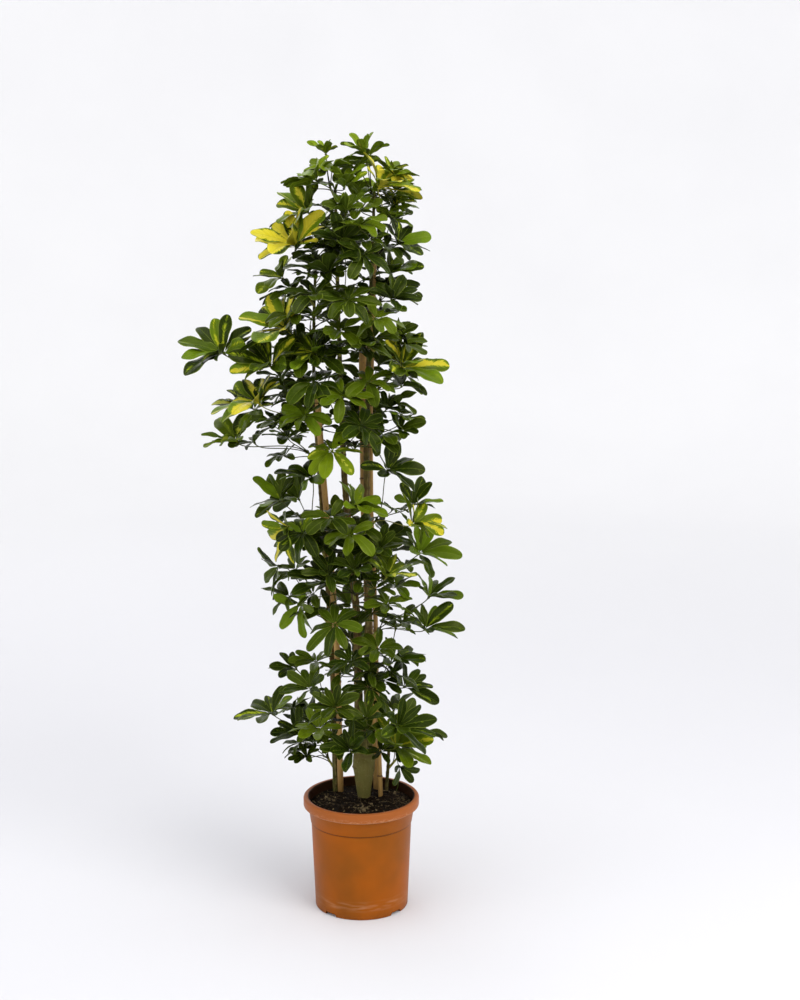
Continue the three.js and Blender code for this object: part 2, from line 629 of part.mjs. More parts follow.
// One leaf of a shoot in the first place that is clear of all that is in place already
function clearLeaf(shoot, row, order, seed) {
  for (let moves = 0; moves <= MOST_MOVES; moves++) {
    const leaf = leafPlan(shoot.plan, row, seed, moves);
    const curve = petioleCurve(shoot.plan, order, leaf);
    const grown = leafSolid(leaf, curve, GAP);
    const box = grown.boundingBox();
    if (near(box, shoot.name).some((other) => touches(grown, other.solid))) continue;
    const blade = leafSolid(leaf, null, GAP);
    if (shoot.leaves.some((sibling) => touches(blade, sibling.solid))) continue;
    return { solid: leafSolid(leaf, curve), grown, box };
  }
  throw new Error(`no clear place for leaf ${order} of ${shoot.name}`);
}

// Then the leaves, those nearest the front first
const leaves = shoots.flatMap((shoot, index) => {
  return shoot.rows.map((row, order) => ({ shoot, row, order, seed: leafSeed(index, order) }));
});
leaves.sort((a, b) => a.row[1] - b.row[1]);
for (const { shoot, row, order, seed } of leaves) {
  const leaf = clearLeaf(shoot, row, order, seed);
  shoot.leaves.push(leaf);
  inPlace.push({ owner: shoot.name, ...leaf });
}
for (const { name, stub, leaves: own } of shoots) {
  const finish = GOLD_SHOOTS.has(name) ? COLOURS.gold : COLOURS.leaf;
  group.add(piece(name, wasm.Manifold.union([stub, ...own.map((leaf) => leaf.solid)]), finish));
}

export default group;
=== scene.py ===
import random
from math import atan2, cos, exp, hypot, pi, radians, sin, sqrt, tan, tau

import bmesh
import bpy
import numpy as np
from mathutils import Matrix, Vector, noise


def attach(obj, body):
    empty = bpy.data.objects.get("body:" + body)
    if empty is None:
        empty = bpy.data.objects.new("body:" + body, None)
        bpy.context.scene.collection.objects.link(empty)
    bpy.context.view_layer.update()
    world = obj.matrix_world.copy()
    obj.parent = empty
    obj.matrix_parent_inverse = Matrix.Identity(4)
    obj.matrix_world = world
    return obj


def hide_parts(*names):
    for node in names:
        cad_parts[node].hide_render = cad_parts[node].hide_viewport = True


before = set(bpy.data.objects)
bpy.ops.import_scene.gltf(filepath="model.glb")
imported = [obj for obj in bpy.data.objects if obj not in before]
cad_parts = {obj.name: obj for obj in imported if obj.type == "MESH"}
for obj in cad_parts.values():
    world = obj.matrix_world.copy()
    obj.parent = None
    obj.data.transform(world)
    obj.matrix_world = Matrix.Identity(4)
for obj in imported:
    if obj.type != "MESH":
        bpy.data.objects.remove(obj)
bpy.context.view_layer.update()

MM = 0.001
UP = np.array([0.0, 0.0, 1.0])

# Pot
POT_HEIGHT = 267
POT_WALL = 3
POT_FLOOR = 3.5
POT_FOOT = 108.5
POT_BODY = (117, 205)
POT_SHOULDER = (124, 240)
POT_STEP = 1.5
RIM_RADIUS = 135
RIM_FOOT = 243
RIM_INNER = 123
FOOT_ROUND = 2.5
LIP_ROUND = 4
RIM_ROUND = 5.5
POT_SIDES = 128
POT_SHARP = 38
NOTCH = {"foot_width": 35, "top_width": 27, "height": 8, "depth": 22, "count": 4, "turn": 4}

# Compost
SOIL_LEVEL = 247
SOIL_HEAP = 5
SOIL_BRIM = 120.7
SOIL_RINGS = 34
SOIL_SIDES = 96

# Bits on the compost: chips all over it, then patches of pale grit in the middle of the front, on the left
# and at the back right, and patches of root hairs. A patch is its centre, its spread and how many bits it
# has, and for grit the longest bit
CHIPS_ALL_OVER = 620
PALE_PATCHES = (((6, -48), 17, 26, 11), ((-76, 15), 16, 16, 10), ((60, 62), 13, 8, 12))
HAIR_PATCHES = (((92, -4), 13, 16), ((6, -50), 30, 14), ((-70, 10), 25, 12), ((20, 10), 60, 18))
HAIR_STEP = 3.4

# Bamboo canes: radius, height of the first joint, spacing of joints and centre line
CANES = {
    "cane_left": (7, 352, 172, [(-48, 64, 14), (-50, 64, 250), (-56, 60, 594), (-68, 60, 790),
                                (-88, 60, 1047), (-97, 60, 1195)]),
    "cane_right": (5.5, 300, 205, [(47, 32, 14), (45, 32, 250), (36, 40, 513), (34, 45, 668), (24, 50, 934),
                                   (23, 55, 1160), (33, 48, 1500)]),
    "cane_back": (9, 434, 190, [(38, 86, 14), (36, 85, 296), (23, 80, 486), (18, 80, 659), (8, 78, 940),
                                (6, 70, 1291), (6, 69, 1330)]),
}

# Stems: radius at foot and tip, and centre line from the root up
STEMS = {
    "left": (7.5, 3, [(-60, 76, 110), (-62, 75, 250), (-69, 74, 593), (-84, 73, 850), (-98, 72, 1060),
                      (-106, 68, 1200), (-103, 60, 1389), (-98, 55, 1500)]),
    "middle": (11, 3, [(2, 27, 300), (-6, 40, 450), (-9, 55, 672), (-24, 64, 850), (-38, 70, 1010),
                       (-44, 70, 1180), (-49, 62, 1400), (-53, 50, 1655)]),
    "right": (11, 3, [(11, 27, 300), (16, 30, 450), (18, 33, 690), (15, 31, 900), (14, 30, 1075),
                      (22, 28, 1350), (34, 28, 1650)]),
    "low": (5, 3, [(56, 76, 150), (58, 78, 250), (64, 84, 330), (62, 90, 400)]),
}

# Root stock in the same form, its top, the swell of its leaders, and where it is rounded off
STOCK = (7, 27, [(6, 26, 200), (6, 26, 250), (6, 27, 335)])
STOCK_TOP = (6, 28, 352)
STOCK_FLARE = 9
STOCK_SIDES = 24
STOCK_ROUND_FROM = 322
STOCK_ROUND_REACH = 32

# Buds on leaders and stems, and the rings of a stem
LEADER_BUD = 4.5
STEM_BUD = 4.0
STEM_SIDES = 16
STEM_STEP = 5

# Scars of old leaves: how far they keep from a stem's foot and tip, their gaps, and their reach
SCARS_FROM = 25
SCARS_END = 10
SCAR_GAP = (14, 30)
SCAR_REACH = 6

# A cane's rings, its swollen joints, each with rings close together round it, and its open top
CANE_SIDES = 18
CANE_STEP = 12.0
CANE_BEVEL = 0.7
JOINT_REACH = 11
JOINT_RINGS = (-9, -6, -3.5, -2, -1, 0, 1, 2.2, 4, 7)
JOINT_SWELL = 1.3
JOINT_GROOVE = 0.7
HOLLOW_DEPTH = 9
HOLLOW_SHARE = 0.45

# How near a bend of a centre line is rounded off
BEND_REACH = 22

# How green the bark is at these heights
GREENNESS = ([250, 420, 560, 950, 1250, 1650], [0.85, 0.7, 0.3, 0.35, 0.75, 1.0])

# Ties: the cane and the stem that each one holds, and its height
TIES = {
    "tie_left_low": ("cane_left", "left", 430),
    "tie_left": ("cane_left", "left", 862),
    "tie_left_high": ("cane_left", "left", 1120),
    "tie_right": ("cane_right", "right", 596),
    "tie_right_high": ("cane_right", "right", 1205),
}
TIE_HEIGHT = 7
TIE_THICKNESS = 1.4
TIE_SLACK = 0.7
TIE_STEPS = 10
TIE_SIDES = 8

# A tie's knot, as its radius at places along it, and how far its two cut ends reach aside, out and down
KNOT = {-3.4: 1.0, -2: 2.3, 0: 2.9, 2: 2.3, 3.4: 1.0}
KNOT_OUT = 1.5
TAIL_REACH = 17
TAIL_OUT = 4
TAIL_DROP = 14

# How a leaf is carried: lean of its blade, rise of its leaflets at the hub and their curl, in degrees,
# then how far each half of a leaflet folds up and how many leaflets stand between the measured ones
FAN = {"lean": 14, "rise": 58, "curl": 30, "fold": 0.62, "more": 3}
OPEN = {"lean": 32, "rise": 48, "curl": 30, "fold": 0.4, "more": 4}
REACH = {"lean": 38, "rise": 45, "curl": 32, "fold": 0.36, "more": 4}
HAND = {"lean": 20, "rise": 30, "curl": 44, "fold": 0.42, "more": 4}
STAR = {"lean": 28, "rise": 22, "curl": 46, "fold": 0.4, "more": 4}
DROOP = {"lean": 105, "rise": 40, "curl": 22, "fold": 0.3, "more": 3}

# The compass direction that a leaf leans in, in degrees from the plant's right
RIGHT = -35
FRONT = -90
LEFT = -145

# Leafy shoots: stem, height on it, and for each leaf its hub, leaflet length, habit and facing, which
# is away from the stem if none is given
SHOOTS = {
    "crown_tip": ["right", 1625, (14, 30, 1736, 66, FAN), (66, 50, 1690, 60, FAN)],
    "crown_gold": ["right", 1575, (44, -12, 1662, 102, OPEN, RIGHT), (76, 62, 1622, 62, REACH, RIGHT)],
    "crown_peak": ["middle", 1640, (-73, 42, 1736, 48, FAN), (-93, 8, 1680, 84, OPEN, LEFT),
        (-32, -5, 1662, 76, FAN)],
    "crown_back": ["middle", 1590, (-15, 112, 1635, 80, FAN), (-95, 115, 1560, 82, OPEN)],
    "crown_left": ["middle", 1530, (-110, 42, 1596, 104, OPEN, LEFT), (-136, -20, 1536, 118, OPEN, LEFT)],
    "crown_right": ["right", 1500, (2, -84, 1586, 78, HAND), (84, 18, 1540, 86, REACH, RIGHT),
        (72, 62, 1598, 52, REACH, RIGHT)],
    "crown_front": ["middle", 1455, (-38, -62, 1548, 85, OPEN, FRONT), (10, -90, 1522, 78, STAR),
        (-28, -55, 1610, 74, FAN)],
    "crown_low": ["left", 1400, (-66, -40, 1480, 98, OPEN, LEFT), (-172, 58, 1462, 78, REACH, LEFT)],
    "crown_side": ["right", 1390, (66, 25, 1466, 80, REACH, RIGHT), (72, -20, 1420, 78, REACH, RIGHT),
        (36, 122, 1505, 72, HAND)],
    "crown_star": ["middle", 1350, (-22, -112, 1426, 88, STAR), (-90, -90, 1425, 82, HAND)],
    "crown_nape": ["middle", 1400, (-38, 140, 1520, 86, OPEN), (40, 135, 1480, 86, HAND)],
    "crown_rear": ["left", 1320, (-95, 132, 1410, 90, HAND), (-165, 100, 1370, 85, REACH)],
    "mid_brow": ["right", 1290, (38, -88, 1385, 78, STAR), (80, 30, 1336, 72, REACH, RIGHT),
        (48, 122, 1375, 76, HAND)],
    "mid_gold": ["left", 1270, (-160, -20, 1355, 120, REACH, LEFT), (-96, -60, 1315, 86, OPEN, LEFT)],
    "mid_far": ["left", 1210, (-304, 20, 1298, 114, REACH, LEFT), (-185, -60, 1270, 112, REACH, LEFT)],
    "mid_front": ["middle", 1285, (-42, -100, 1360, 82, STAR), (5, -92, 1330, 80, STAR)],
    "mid_right": ["right", 1190, (95, -22, 1270, 112, REACH, RIGHT), (104, 112, 1236, 76, REACH, RIGHT)],
    "mid_heart": ["middle", 1160, (-95, -80, 1245, 86, STAR), (-36, -110, 1220, 82, STAR)],
    "mid_side": ["right", 1110, (20, -80, 1245, 78, STAR), (60, 0, 1175, 62, REACH, RIGHT),
        (88, -20, 1130, 62, OPEN, RIGHT)],
    "mid_streak": ["left", 1100, (-220, -50, 1194, 112, REACH, LEFT), (-120, -70, 1170, 72, STAR)],
    "mid_reach": ["left", 1040, (-236, 70, 1146, 100, REACH, LEFT), (-276, 0, 1100, 100, REACH, LEFT)],
    "mid_rear": ["left", 1130, (-140, 122, 1200, 95, REACH), (-70, 118, 1262, 90, HAND)],
    "mid_back": ["middle", 1080, (-25, 132, 1155, 90, HAND), (45, 138, 1250, 90, OPEN)],
    "mid_foot": ["middle", 1060, (5, -90, 1150, 76, STAR), (-60, -62, 1090, 78, STAR),
        (8, 118, 1075, 84, REACH)],
    "waist_left": ["left", 860, (-178, 0, 966, 90, REACH, LEFT), (-145, 122, 945, 90, REACH),
        (-112, 5, 1000, 92, OPEN, LEFT)],
    "waist_gold": ["left", 815, (-158, -60, 896, 90, DROOP, LEFT), (-126, -80, 908, 78, STAR)],
    "waist_star": ["middle", 880, (-62, -110, 948, 74, STAR), (-15, -72, 965, 88, OPEN, RIGHT)],
    "waist_right": ["right", 890, (62, -10, 1036, 92, REACH, RIGHT), (120, 22, 950, 84, OPEN, RIGHT),
        (117, -60, 924, 96, REACH, RIGHT)],
    "waist_front": ["middle", 800, (-20, -110, 910, 72, STAR), (-85, -40, 870, 70, HAND)],
    "waist_pair": ["right", 745, (134, 40, 834, 104, REACH, RIGHT), (45, -70, 870, 74, OPEN, FRONT),
        (60, -100, 812, 92, OPEN, RIGHT)],
    "waist_low": ["middle", 715, (-10, -110, 830, 68, OPEN, FRONT), (-70, -100, 825, 72, OPEN, FRONT)],
    "waist_rear": ["left", 655, (-190, 40, 805, 82, DROOP, LEFT), (-138, 20, 722, 86, DROOP, LEFT),
        (-95, 130, 750, 90, OPEN)],
    "waist_reach": ["right", 630, (157, 20, 736, 86, OPEN, RIGHT), (148, -10, 668, 92, OPEN, RIGHT),
        (62, -62, 738, 76, HAND)],
    "waist_back": ["middle", 760, (-50, 140, 890, 90, OPEN), (20, 142, 745, 90, HAND),
        (55, 138, 850, 88, REACH)],
    "waist_foot": ["middle", 610, (-70, -40, 785, 104, REACH, LEFT), (-55, -90, 700, 84, STAR),
        (-30, 124, 690, 86, REACH)],
    "knee_right": ["right", 500, (70, -20, 598, 84, REACH, RIGHT), (100, 10, 524, 84, OPEN, RIGHT),
        (78, 92, 640, 62, HAND)],
    "knee_left": ["left", 450, (-150, 50, 552, 72, REACH, LEFT), (-100, 10, 580, 66, HAND),
        (-112, -60, 540, 82, REACH, LEFT)],
    "knee_front": ["middle", 520, (40, -60, 635, 72, HAND), (-20, -80, 610, 68, HAND)],
    "knee_back": ["middle", 500, (-25, 132, 600, 88, REACH), (55, 128, 650, 84, HAND)],
    "foot_star": ["middle", 400, (-55, -120, 515, 82, OPEN, FRONT), (-95, -75, 450, 80, HAND),
        (30, -60, 545, 76, STAR)],
    "foot_right": ["right", 390, (15, -130, 490, 72, OPEN, FRONT), (79, -90, 464, 106, OPEN, RIGHT)],
    "foot_front": ["right", 345, (-20, -112, 410, 90, OPEN, FRONT), (82, -70, 394, 106, REACH, RIGHT)],
    "foot_left": ["left", 345, (-206, 20, 456, 96, REACH, LEFT), (-140, 10, 408, 80, OPEN, LEFT)],
    "foot_rear": ["left", 300, (-130, 40, 352, 50, REACH, LEFT), (-120, 110, 415, 90, REACH),
        (-50, 128, 460, 90, HAND)],
    "foot_low": ["low", 300, (86, 50, 308, 64, DROOP, RIGHT), (75, 125, 430, 88, OPEN)],
}
LEAST_LEAFLETS = 5
MOST_LEAFLETS = 7
LENGTH_EACH = 19
FORESHORTENED = 1.08
SHOOT_LENGTH = 26
SHOOT_RADIUS = 3.4
SHOOT_SPREAD = 0.9
SHOOT_BUD = 2.4
PETIOLE_BOW = 0.35
YOUNG_FROM = 1540
YOUNG_REACH = 190
SLENDER = 0.85
SLENDER_BELOW = 850

# How a leaf finds its place: moves along a spiral, each with a turn of its leaflets, from its own seed
LEAF_SEED = 101
MOST_MOVES = 120
MOVE_STEP = 5
MOVE_SPIN = 25
GOLDEN_ANGLE = 2.399963

# How near to a corner of its node a tip has to come, in mm, and the share of tips that is enough
TIP_MET = 0.4
ENOUGH_MET = 0.8

# Small inner leaves, and the heights between the tiers where the stems are bare of them
INNER_LEAVES = 4
INNER_LENGTH = (50, 76)
INNER_SEED = 5000
BARE = ((940, 1045), (595, 680), (470, 545), (270, 350))

# How far a blade is tipped at most, in degrees, and how far its leaflets stray from the rule
MOST_TIPPED = 13
STRAY = {"angle": (-0.15, 0.15), "rise": (-17, 14), "curl": (0.45, 1.5), "length": (0.84, 1.06),
         "width": (0.34, 0.43), "fold": (0.4, 1.5), "twist": (-0.95, 0.95)}

# A leaflet's blade: its grid, the share of it that is stalk, and the powers that shape its outline towards
# the base and the tip, with the greatest value that they give
BLADE_THICKNESS = 0.9
BLADE_ROWS = 12
BLADE_HALF_COLUMNS = 3
STALK = 0.06
BASE_POWER = 0.85
TIP_POWER = 0.52
OUTLINE_PEAK = 0.403

# How yellow each variegated leaf is: by shoot, the share of each of its leaves in turn
GOLD = {"crown_tip": (0.4, 0.45), "crown_gold": (0.85, 0.5), "crown_left": (0.5, 0.95),
        "crown_peak": (0.4, 0.35, 0.35), "crown_right": (0.15, 0.3, 0.25), "crown_low": (0.15, 0.4),
        "crown_side": (0.3, 0.15, 0.1), "mid_gold": (0.7, 0.35), "mid_far": (0.35, 0.5),
        "mid_streak": (0.75, 0.25), "mid_reach": (0.5, 0.35), "mid_right": (0.55, 0.3),
        "mid_foot": (0.15, 0.4, 0), "waist_left": (0.25, 0, 0.25), "waist_gold": (0.6, 0.3),
        "waist_star": (0.05, 0.3), "waist_right": (0.2, 0.25, 0.65), "waist_pair": (0.15, 0.05, 0.55),
        "waist_reach": (0.25, 0.3, 0), "waist_rear": (0.2, 0.2, 0), "knee_right": (0.2, 0.25, 0),
        "knee_left": (0.2, 0, 0.1), "foot_star": (0.2, 0.1, 0.1), "foot_right": (0.2, 0.15),
        "foot_front": (0.1, 0.4), "foot_left": (0.3, 0.2)}
# Leaves that are lime all over, by shoot, and how much younger they look
LIME = {"crown_peak": (1,), "mid_streak": (1,), "mid_foot": (1,), "mid_reach": (1,), "waist_right": (2,),
        "waist_star": (1,), "foot_star": (1,), "foot_front": (1,)}
LIME_YOUTH = 0.6

# Shoots with the yellower finish
GOLD_SLOTS = {"crown_gold", "crown_left", "mid_gold", "mid_far", "mid_streak", "mid_right",
              "waist_gold", "waist_right", "foot_right", "foot_front"}

# Where the random draws of each kind of piece start
BITS_SEED = 41
BUD_SEED = 5
CANE_SEED = 70
TIE_SEED = 20
SHOOT_SEED = 900

# Studio, in metres: the camera, the floor's sweep, and each light's name, place, size, power and colour
CAMERA_PLACE = (0.0905, -4.0, 1.75)
CAMERA_TILT = 78.93
LENS = 64.85
LIGHT_TARGET = (0, 0, 0.9)
FLOOR_REACH = 7.5
FLOOR_BEND = 3.0
WALL_HEIGHT = 5.0
LIGHTS = (
    ("key", (2.4, -2.6, 3.9), 2.7, 118, (1.0, 0.985, 0.95)),
    ("top", (-0.4, -0.6, 4.4), 2.2, 34, (1.0, 1.0, 1.0)),
    ("fill", (-3.2, -2.4, 2.0), 2.6, 14, (0.96, 0.98, 1.0)),
    ("rim", (-1.6, 3.2, 3.2), 2.0, 20, (1.0, 1.0, 1.0)),
)


def unit(vector):
    return vector / np.linalg.norm(vector)


def srgb(red, green, blue):
    """A colour given as 8-bit display values, in the linear light that shaders take."""
    def linear(value):
        value /= 255
        return value / 12.92 if value <= 0.04045 else ((value + 0.055) / 1.055) ** 2.4
    return (linear(red), linear(green), linear(blue), 1)


def put(name, data):
    """A new object of the scene with this data."""
    made = bpy.data.objects.new(name, data)
    bpy.context.scene.collection.objects.link(made)
    return made


def angles_round(sides):
    """Evenly spaced angles round a circle."""
    return np.linspace(0, tau, sides, endpoint=False)


def ring_faces(rings, sides):
    """Faces between each ring of points and the next."""
    faces = []
    for first in range(0, (rings - 1) * sides, sides):
        for k in range(sides):
            a, b = first + k, first + (k + 1) % sides
            faces.append((a, b, b + sides, a + sides))
    return faces


def tube_faces(rings, sides):
    """Faces of a tube, with a fan at each end to the two points that come after its rings."""
    faces = ring_faces(rings, sides)
    foot, last = rings * sides, (rings - 1) * sides
    for k in range(sides):
        after = (k + 1) % sides
        faces.append((foot, after, k))
        faces.append((foot + 1, last + k, last + after))
    return faces


class Gathered:
    """Closed shapes of one mesh, with a UV and a tint at each vertex and a finish for each face."""

    def __init__(self):
        self.points = []
        self.faces = []
        self.uvs = []
        self.tints = []
        self.finishes = []

    def add(self, points, faces, uvs=None, tint=(0, 0, 0, 1), finish=0):
        first = len(self.points)
        self.points.extend(points)
        self.faces.extend(tuple(first + corner for corner in face) for face in faces)
        self.uvs.extend([(0, 0)] * len(points) if uvs is None else uvs)
        self.tints.extend(np.broadcast_to(np.asarray(tint, float), (len(points), 4)))
        self.finishes.extend([finish] * len(faces))

    def tube(self, line, radii, sides, tint=(0, 0, 0, 1), finish=0):
        """A round tube along a line, closed at both ends, with a radius for each ring or for each vertex."""
        line = np.asarray(line, float)
        rings = len(line)
        tangents = np.gradient(line, axis=0)
        across = np.cross(tangents[0], (0.31, 0.95, 0.05))
        turns = angles_round(sides)
        radii = np.asarray(radii, float)
        if radii.ndim == 1:
            radii = np.repeat(radii[:, None], sides, axis=1)
        points = []
        for place, tangent, ring in zip(line, tangents, radii):
            tangent = unit(tangent)
            across = unit(across - tangent * np.dot(across, tangent))
            other = np.cross(tangent, across)
            circle = np.outer(np.cos(turns) * ring, across) + np.outer(np.sin(turns) * ring, other)
            points.extend(place + circle)
        points.extend([line[0], line[-1]])
        uvs = [(0, i / (rings - 1)) for i in range(rings) for _ in range(sides)] + [(0, 0), (0, 1)]
        tint = np.asarray(tint, float)
        if tint.ndim == 2:
            tint = np.concatenate([np.repeat(tint, sides, axis=0), tint[:1], tint[-1:]])
        self.add(points, tube_faces(rings, sides), uvs, tint, finish)

    def piece(self, name, finishes, replaced=None, sharp=50):
        """The mesh as a piece of the plant, smooth apart from its sharp edges."""
        data = bpy.data.meshes.new(name)
        data.from_pydata([tuple(point) for point in np.asarray(self.points) * MM], [], self.faces)
        mended = bmesh.new()
        mended.from_mesh(data)
        bmesh.ops.recalc_face_normals(mended, faces=mended.faces)
        mended.to_mesh(data)
        mended.free()
        corners = np.empty(len(data.loops), np.int32)
        data.loops.foreach_get("vertex_index", corners)
        layer = data.uv_layers.new(name="UVMap")
        layer.uv.foreach_set("vector", np.asarray(self.uvs, np.float32)[corners].ravel())
        tints = data.color_attributes.new("Tint", "FLOAT_COLOR", "POINT")
        tints.data.foreach_set("color", np.asarray(self.tints, np.float32).ravel())
        for finish in finishes:
            data.materials.append(finish)
        data.polygons.foreach_set("material_index", np.asarray(self.finishes, np.int32))
        data.shade_smooth()
        data.set_sharp_from_angle(angle=radians(sharp))
        made = put(name, data)
        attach(made, "root")
        if replaced:
            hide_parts(replaced)
        return made


class Value:
    """A number that a shader works out at each point, for plain sums and products."""

    def __init__(self, finish, socket):
        self.finish = finish
        self.socket = socket

    def __add__(self, other):
        return self.finish.math("ADD", self, other)

    def __sub__(self, other):
        return self.finish.math("SUBTRACT", self, other)

    def __rsub__(self, other):
        return self.finish.math("SUBTRACT", other, self)

    def __mul__(self, other):
        return self.finish.math("MULTIPLY", self, other)


class Finish:
    """A material on one Principled shader, painted in layers over its first colour.

    Its red, green, blue and alpha are those of the tint at each vertex."""

    def __init__(self, name, shine, shine_tint=(1, 1, 1, 1)):
        self.material = bpy.data.materials.new(name)
        self.material.use_nodes = True
        self.tree = self.material.node_tree
        self.shader = self.tree.nodes["Principled BSDF"]
        self.shader.inputs["Specular IOR Level"].default_value = shine
        self.shader.inputs["Specular Tint"].default_value = shine_tint
        self.place = self.node("ShaderNodeTexCoord").outputs["Object"]
        tint = self.node("ShaderNodeAttribute", attribute_name="Tint")
        parts = self.node("ShaderNodeSeparateColor", tint.outputs["Color"])
        self.red, self.green, self.blue = (Value(self, part) for part in parts.outputs)
        self.alpha = Value(self, tint.outputs["Alpha"])
        self.colour = None

    def feed(self, socket, value):
        """Gives a socket a constant, or links it to what the shader works out."""
        if isinstance(value, Value):
            value = value.socket
        if isinstance(value, bpy.types.NodeSocket):
            self.tree.links.new(value, socket)
        else:
            socket.default_value = value

    def node(self, kind, *values, **settings):
        """A new node with these settings, and with these values for its first inputs."""
        made = self.tree.nodes.new(kind)
        for setting, value in settings.items():
            setattr(made, setting, value)
        for socket, value in zip(made.inputs, values):
            self.feed(socket, value)
        return made

    def math(self, operation, *values):
        return Value(self, self.node("ShaderNodeMath", *values, operation=operation).outputs[0])

    def ramp(self, value, low, high, start=0.0, end=1.0):
        """A smooth step from start to end as the value goes from low to high."""
        steps = (value, low, high, start, end)
        made = self.node("ShaderNodeMapRange", *steps, interpolation_type="SMOOTHSTEP")
        return Value(self, made.outputs[0])

    def band(self, value, start, full, fall, end):
        """1 from full to fall, and smoothly down to 0 at start and end."""
        return self.ramp(value, start, full) * self.ramp(value, end, fall)

    def split(self, vector):
        return [Value(self, part) for part in self.node("ShaderNodeSeparateXYZ", vector).outputs]

    def from_axis(self):
        x, y, _ = self.split(self.place)
        return self.math("SQRT", x * x + y * y)

    def noise(self, fineness, detail=2.0, rough=0.5):
        """Noise from 0 to 1 on the object, with one fineness or one for each axis, or on three values."""
        vector, scale = self.place, 1.0
        if not isinstance(fineness, tuple):
            scale = fineness
        elif any(isinstance(part, Value) for part in fineness):
            vector = self.node("ShaderNodeCombineXYZ", *fineness).outputs[0]
        else:
            vector = self.node("ShaderNodeVectorMath", vector, fineness, operation="MULTIPLY").outputs[0]
        made = self.node("ShaderNodeTexNoise")
        values = {"Vector": vector, "Scale": scale, "Detail": detail, "Roughness": rough}
        for socket, value in values.items():
            self.feed(made.inputs[socket], value)
        return Value(self, made.outputs["Fac"])

    def mix(self, share, *colours):
        """A blend of two colours, each a node's or given as 8-bit display values."""
        made = self.node("ShaderNodeMix", share, data_type="RGBA")
        for socket, colour in zip(made.inputs[6:8], colours):
            self.feed(socket, srgb(*colour) if isinstance(colour, tuple) else colour)
        return made.outputs[2]

    def paint(self, share, colour):
        """Lays a colour over the layers so far, as strongly as the share says."""
        self.colour = self.mix(share, self.colour, colour)

    def bump(self, height, depth, strength):
        """Relief from a height between 0 and 1, with its depth in metres."""
        made = self.node("ShaderNodeBump")
        for socket, value in (("Strength", strength), ("Distance", depth), ("Height", height)):
            self.feed(made.inputs[socket], value)
        self.feed(self.shader.inputs["Normal"], made.outputs[0])

    def done(self, roughness):
        self.feed(self.shader.inputs["Base Color"], self.colour)
        self.feed(self.shader.inputs["Roughness"], roughness)
        return self.material


def leaf_finish(name, yellow, pale):
    """Waxy leaf: green, blotched with yellow that follows the side veins, a pale midrib, a painted highlight
    on the margin.

    The tint holds the leaflet's yellow share, its own random number, its youth and which side it is."""
    f = Finish(name, 0.12, (1, 1, 0.45, 1))
    along, across, _ = f.split(f.node("ShaderNodeUVMap", uv_map="UVMap").outputs[0])
    edge = f.math("ABSOLUTE", across)
    vein = along - edge * 0.2
    seed = f.green * 23.0
    swell = f.noise((along * 2.6, seed, 0.0), 1.0)
    feather = f.noise((vein * 21.0, across * 0.7, seed))
    splashes = f.noise((vein * 7.0, across * 2.4, seed))
    middle = (f.green - 0.5) * 1.1
    away = f.math("ABSOLUTE", across - middle)
    field = (f.red - 0.42) * 1.7 + (swell - 0.5) * 0.9 + (feather - 0.5) * 0.9 + (splashes - 0.5) * 0.7
    field -= away + f.math("POWER", edge, 4.0) * 0.3
    gold = f.ramp(field, -0.02, 0.1)
    lime = f.ramp(field, -0.3, -0.08)

    mottle = f.noise(90.0)
    f.colour = f.mix(f.green, (22, 34, 3), (46, 64, 6))
    f.paint(f.blue, (116, 138, 16))
    f.paint(f.ramp(f.green, 0.6, 0.92, 0.0, 0.7), (112, 140, 20))
    f.paint(mottle * 0.4, (16, 25, 3))
    f.paint(lime * 0.75, (112, 130, 16))
    f.paint(gold, f.mix(f.ramp(f.red, 0.3, 0.7), (152, 166, 28), f.mix(feather, yellow, pale)))
    ribs = f.math("COSINE", vein * (tau * 10))
    ribs = f.ramp(ribs, 0.72, 1.0) * f.ramp(edge, 0.98, 0.6)
    midrib = f.ramp(edge, 0.075, 0.02)
    # painted highlight: a pale band along the margin, where the edges catch the light
    margin_highlight = f.ramp(edge, 0.84, 0.985)
    f.paint(ribs * 0.1, (96, 118, 36))
    f.paint(midrib * 0.3, (120, 138, 48))
    f.paint(margin_highlight * 0.5, (140, 156, 58))
    underside = f.mix(0.4, f.colour, (62, 78, 26))
    f.paint(f.alpha, underside)

    f.bump(f.noise(900.0) * 0.25 - (ribs * 0.5 + midrib * 0.6), 0.0005, 0.6)
    return f.done(mottle * 0.16 + (f.alpha * 0.24 + 0.22))


def petiole_finish():
    """Leaf stalk: green to olive, yellow on variegated leaves, with fine grooves along it."""
    f = Finish("petiole", 0.16)
    grooves = f.noise((900, 900, 60))
    f.colour = f.mix(f.blue, (54, 52, 18), (82, 90, 24))
    f.paint(grooves * 0.4, (44, 42, 18))
    f.paint(f.ramp(f.red, 0.35, 0.9) * 0.8, (176, 172, 78))
    f.bump(grooves, 0.0003, 0.5)
    return f.done(grooves * 0.15 + 0.38)


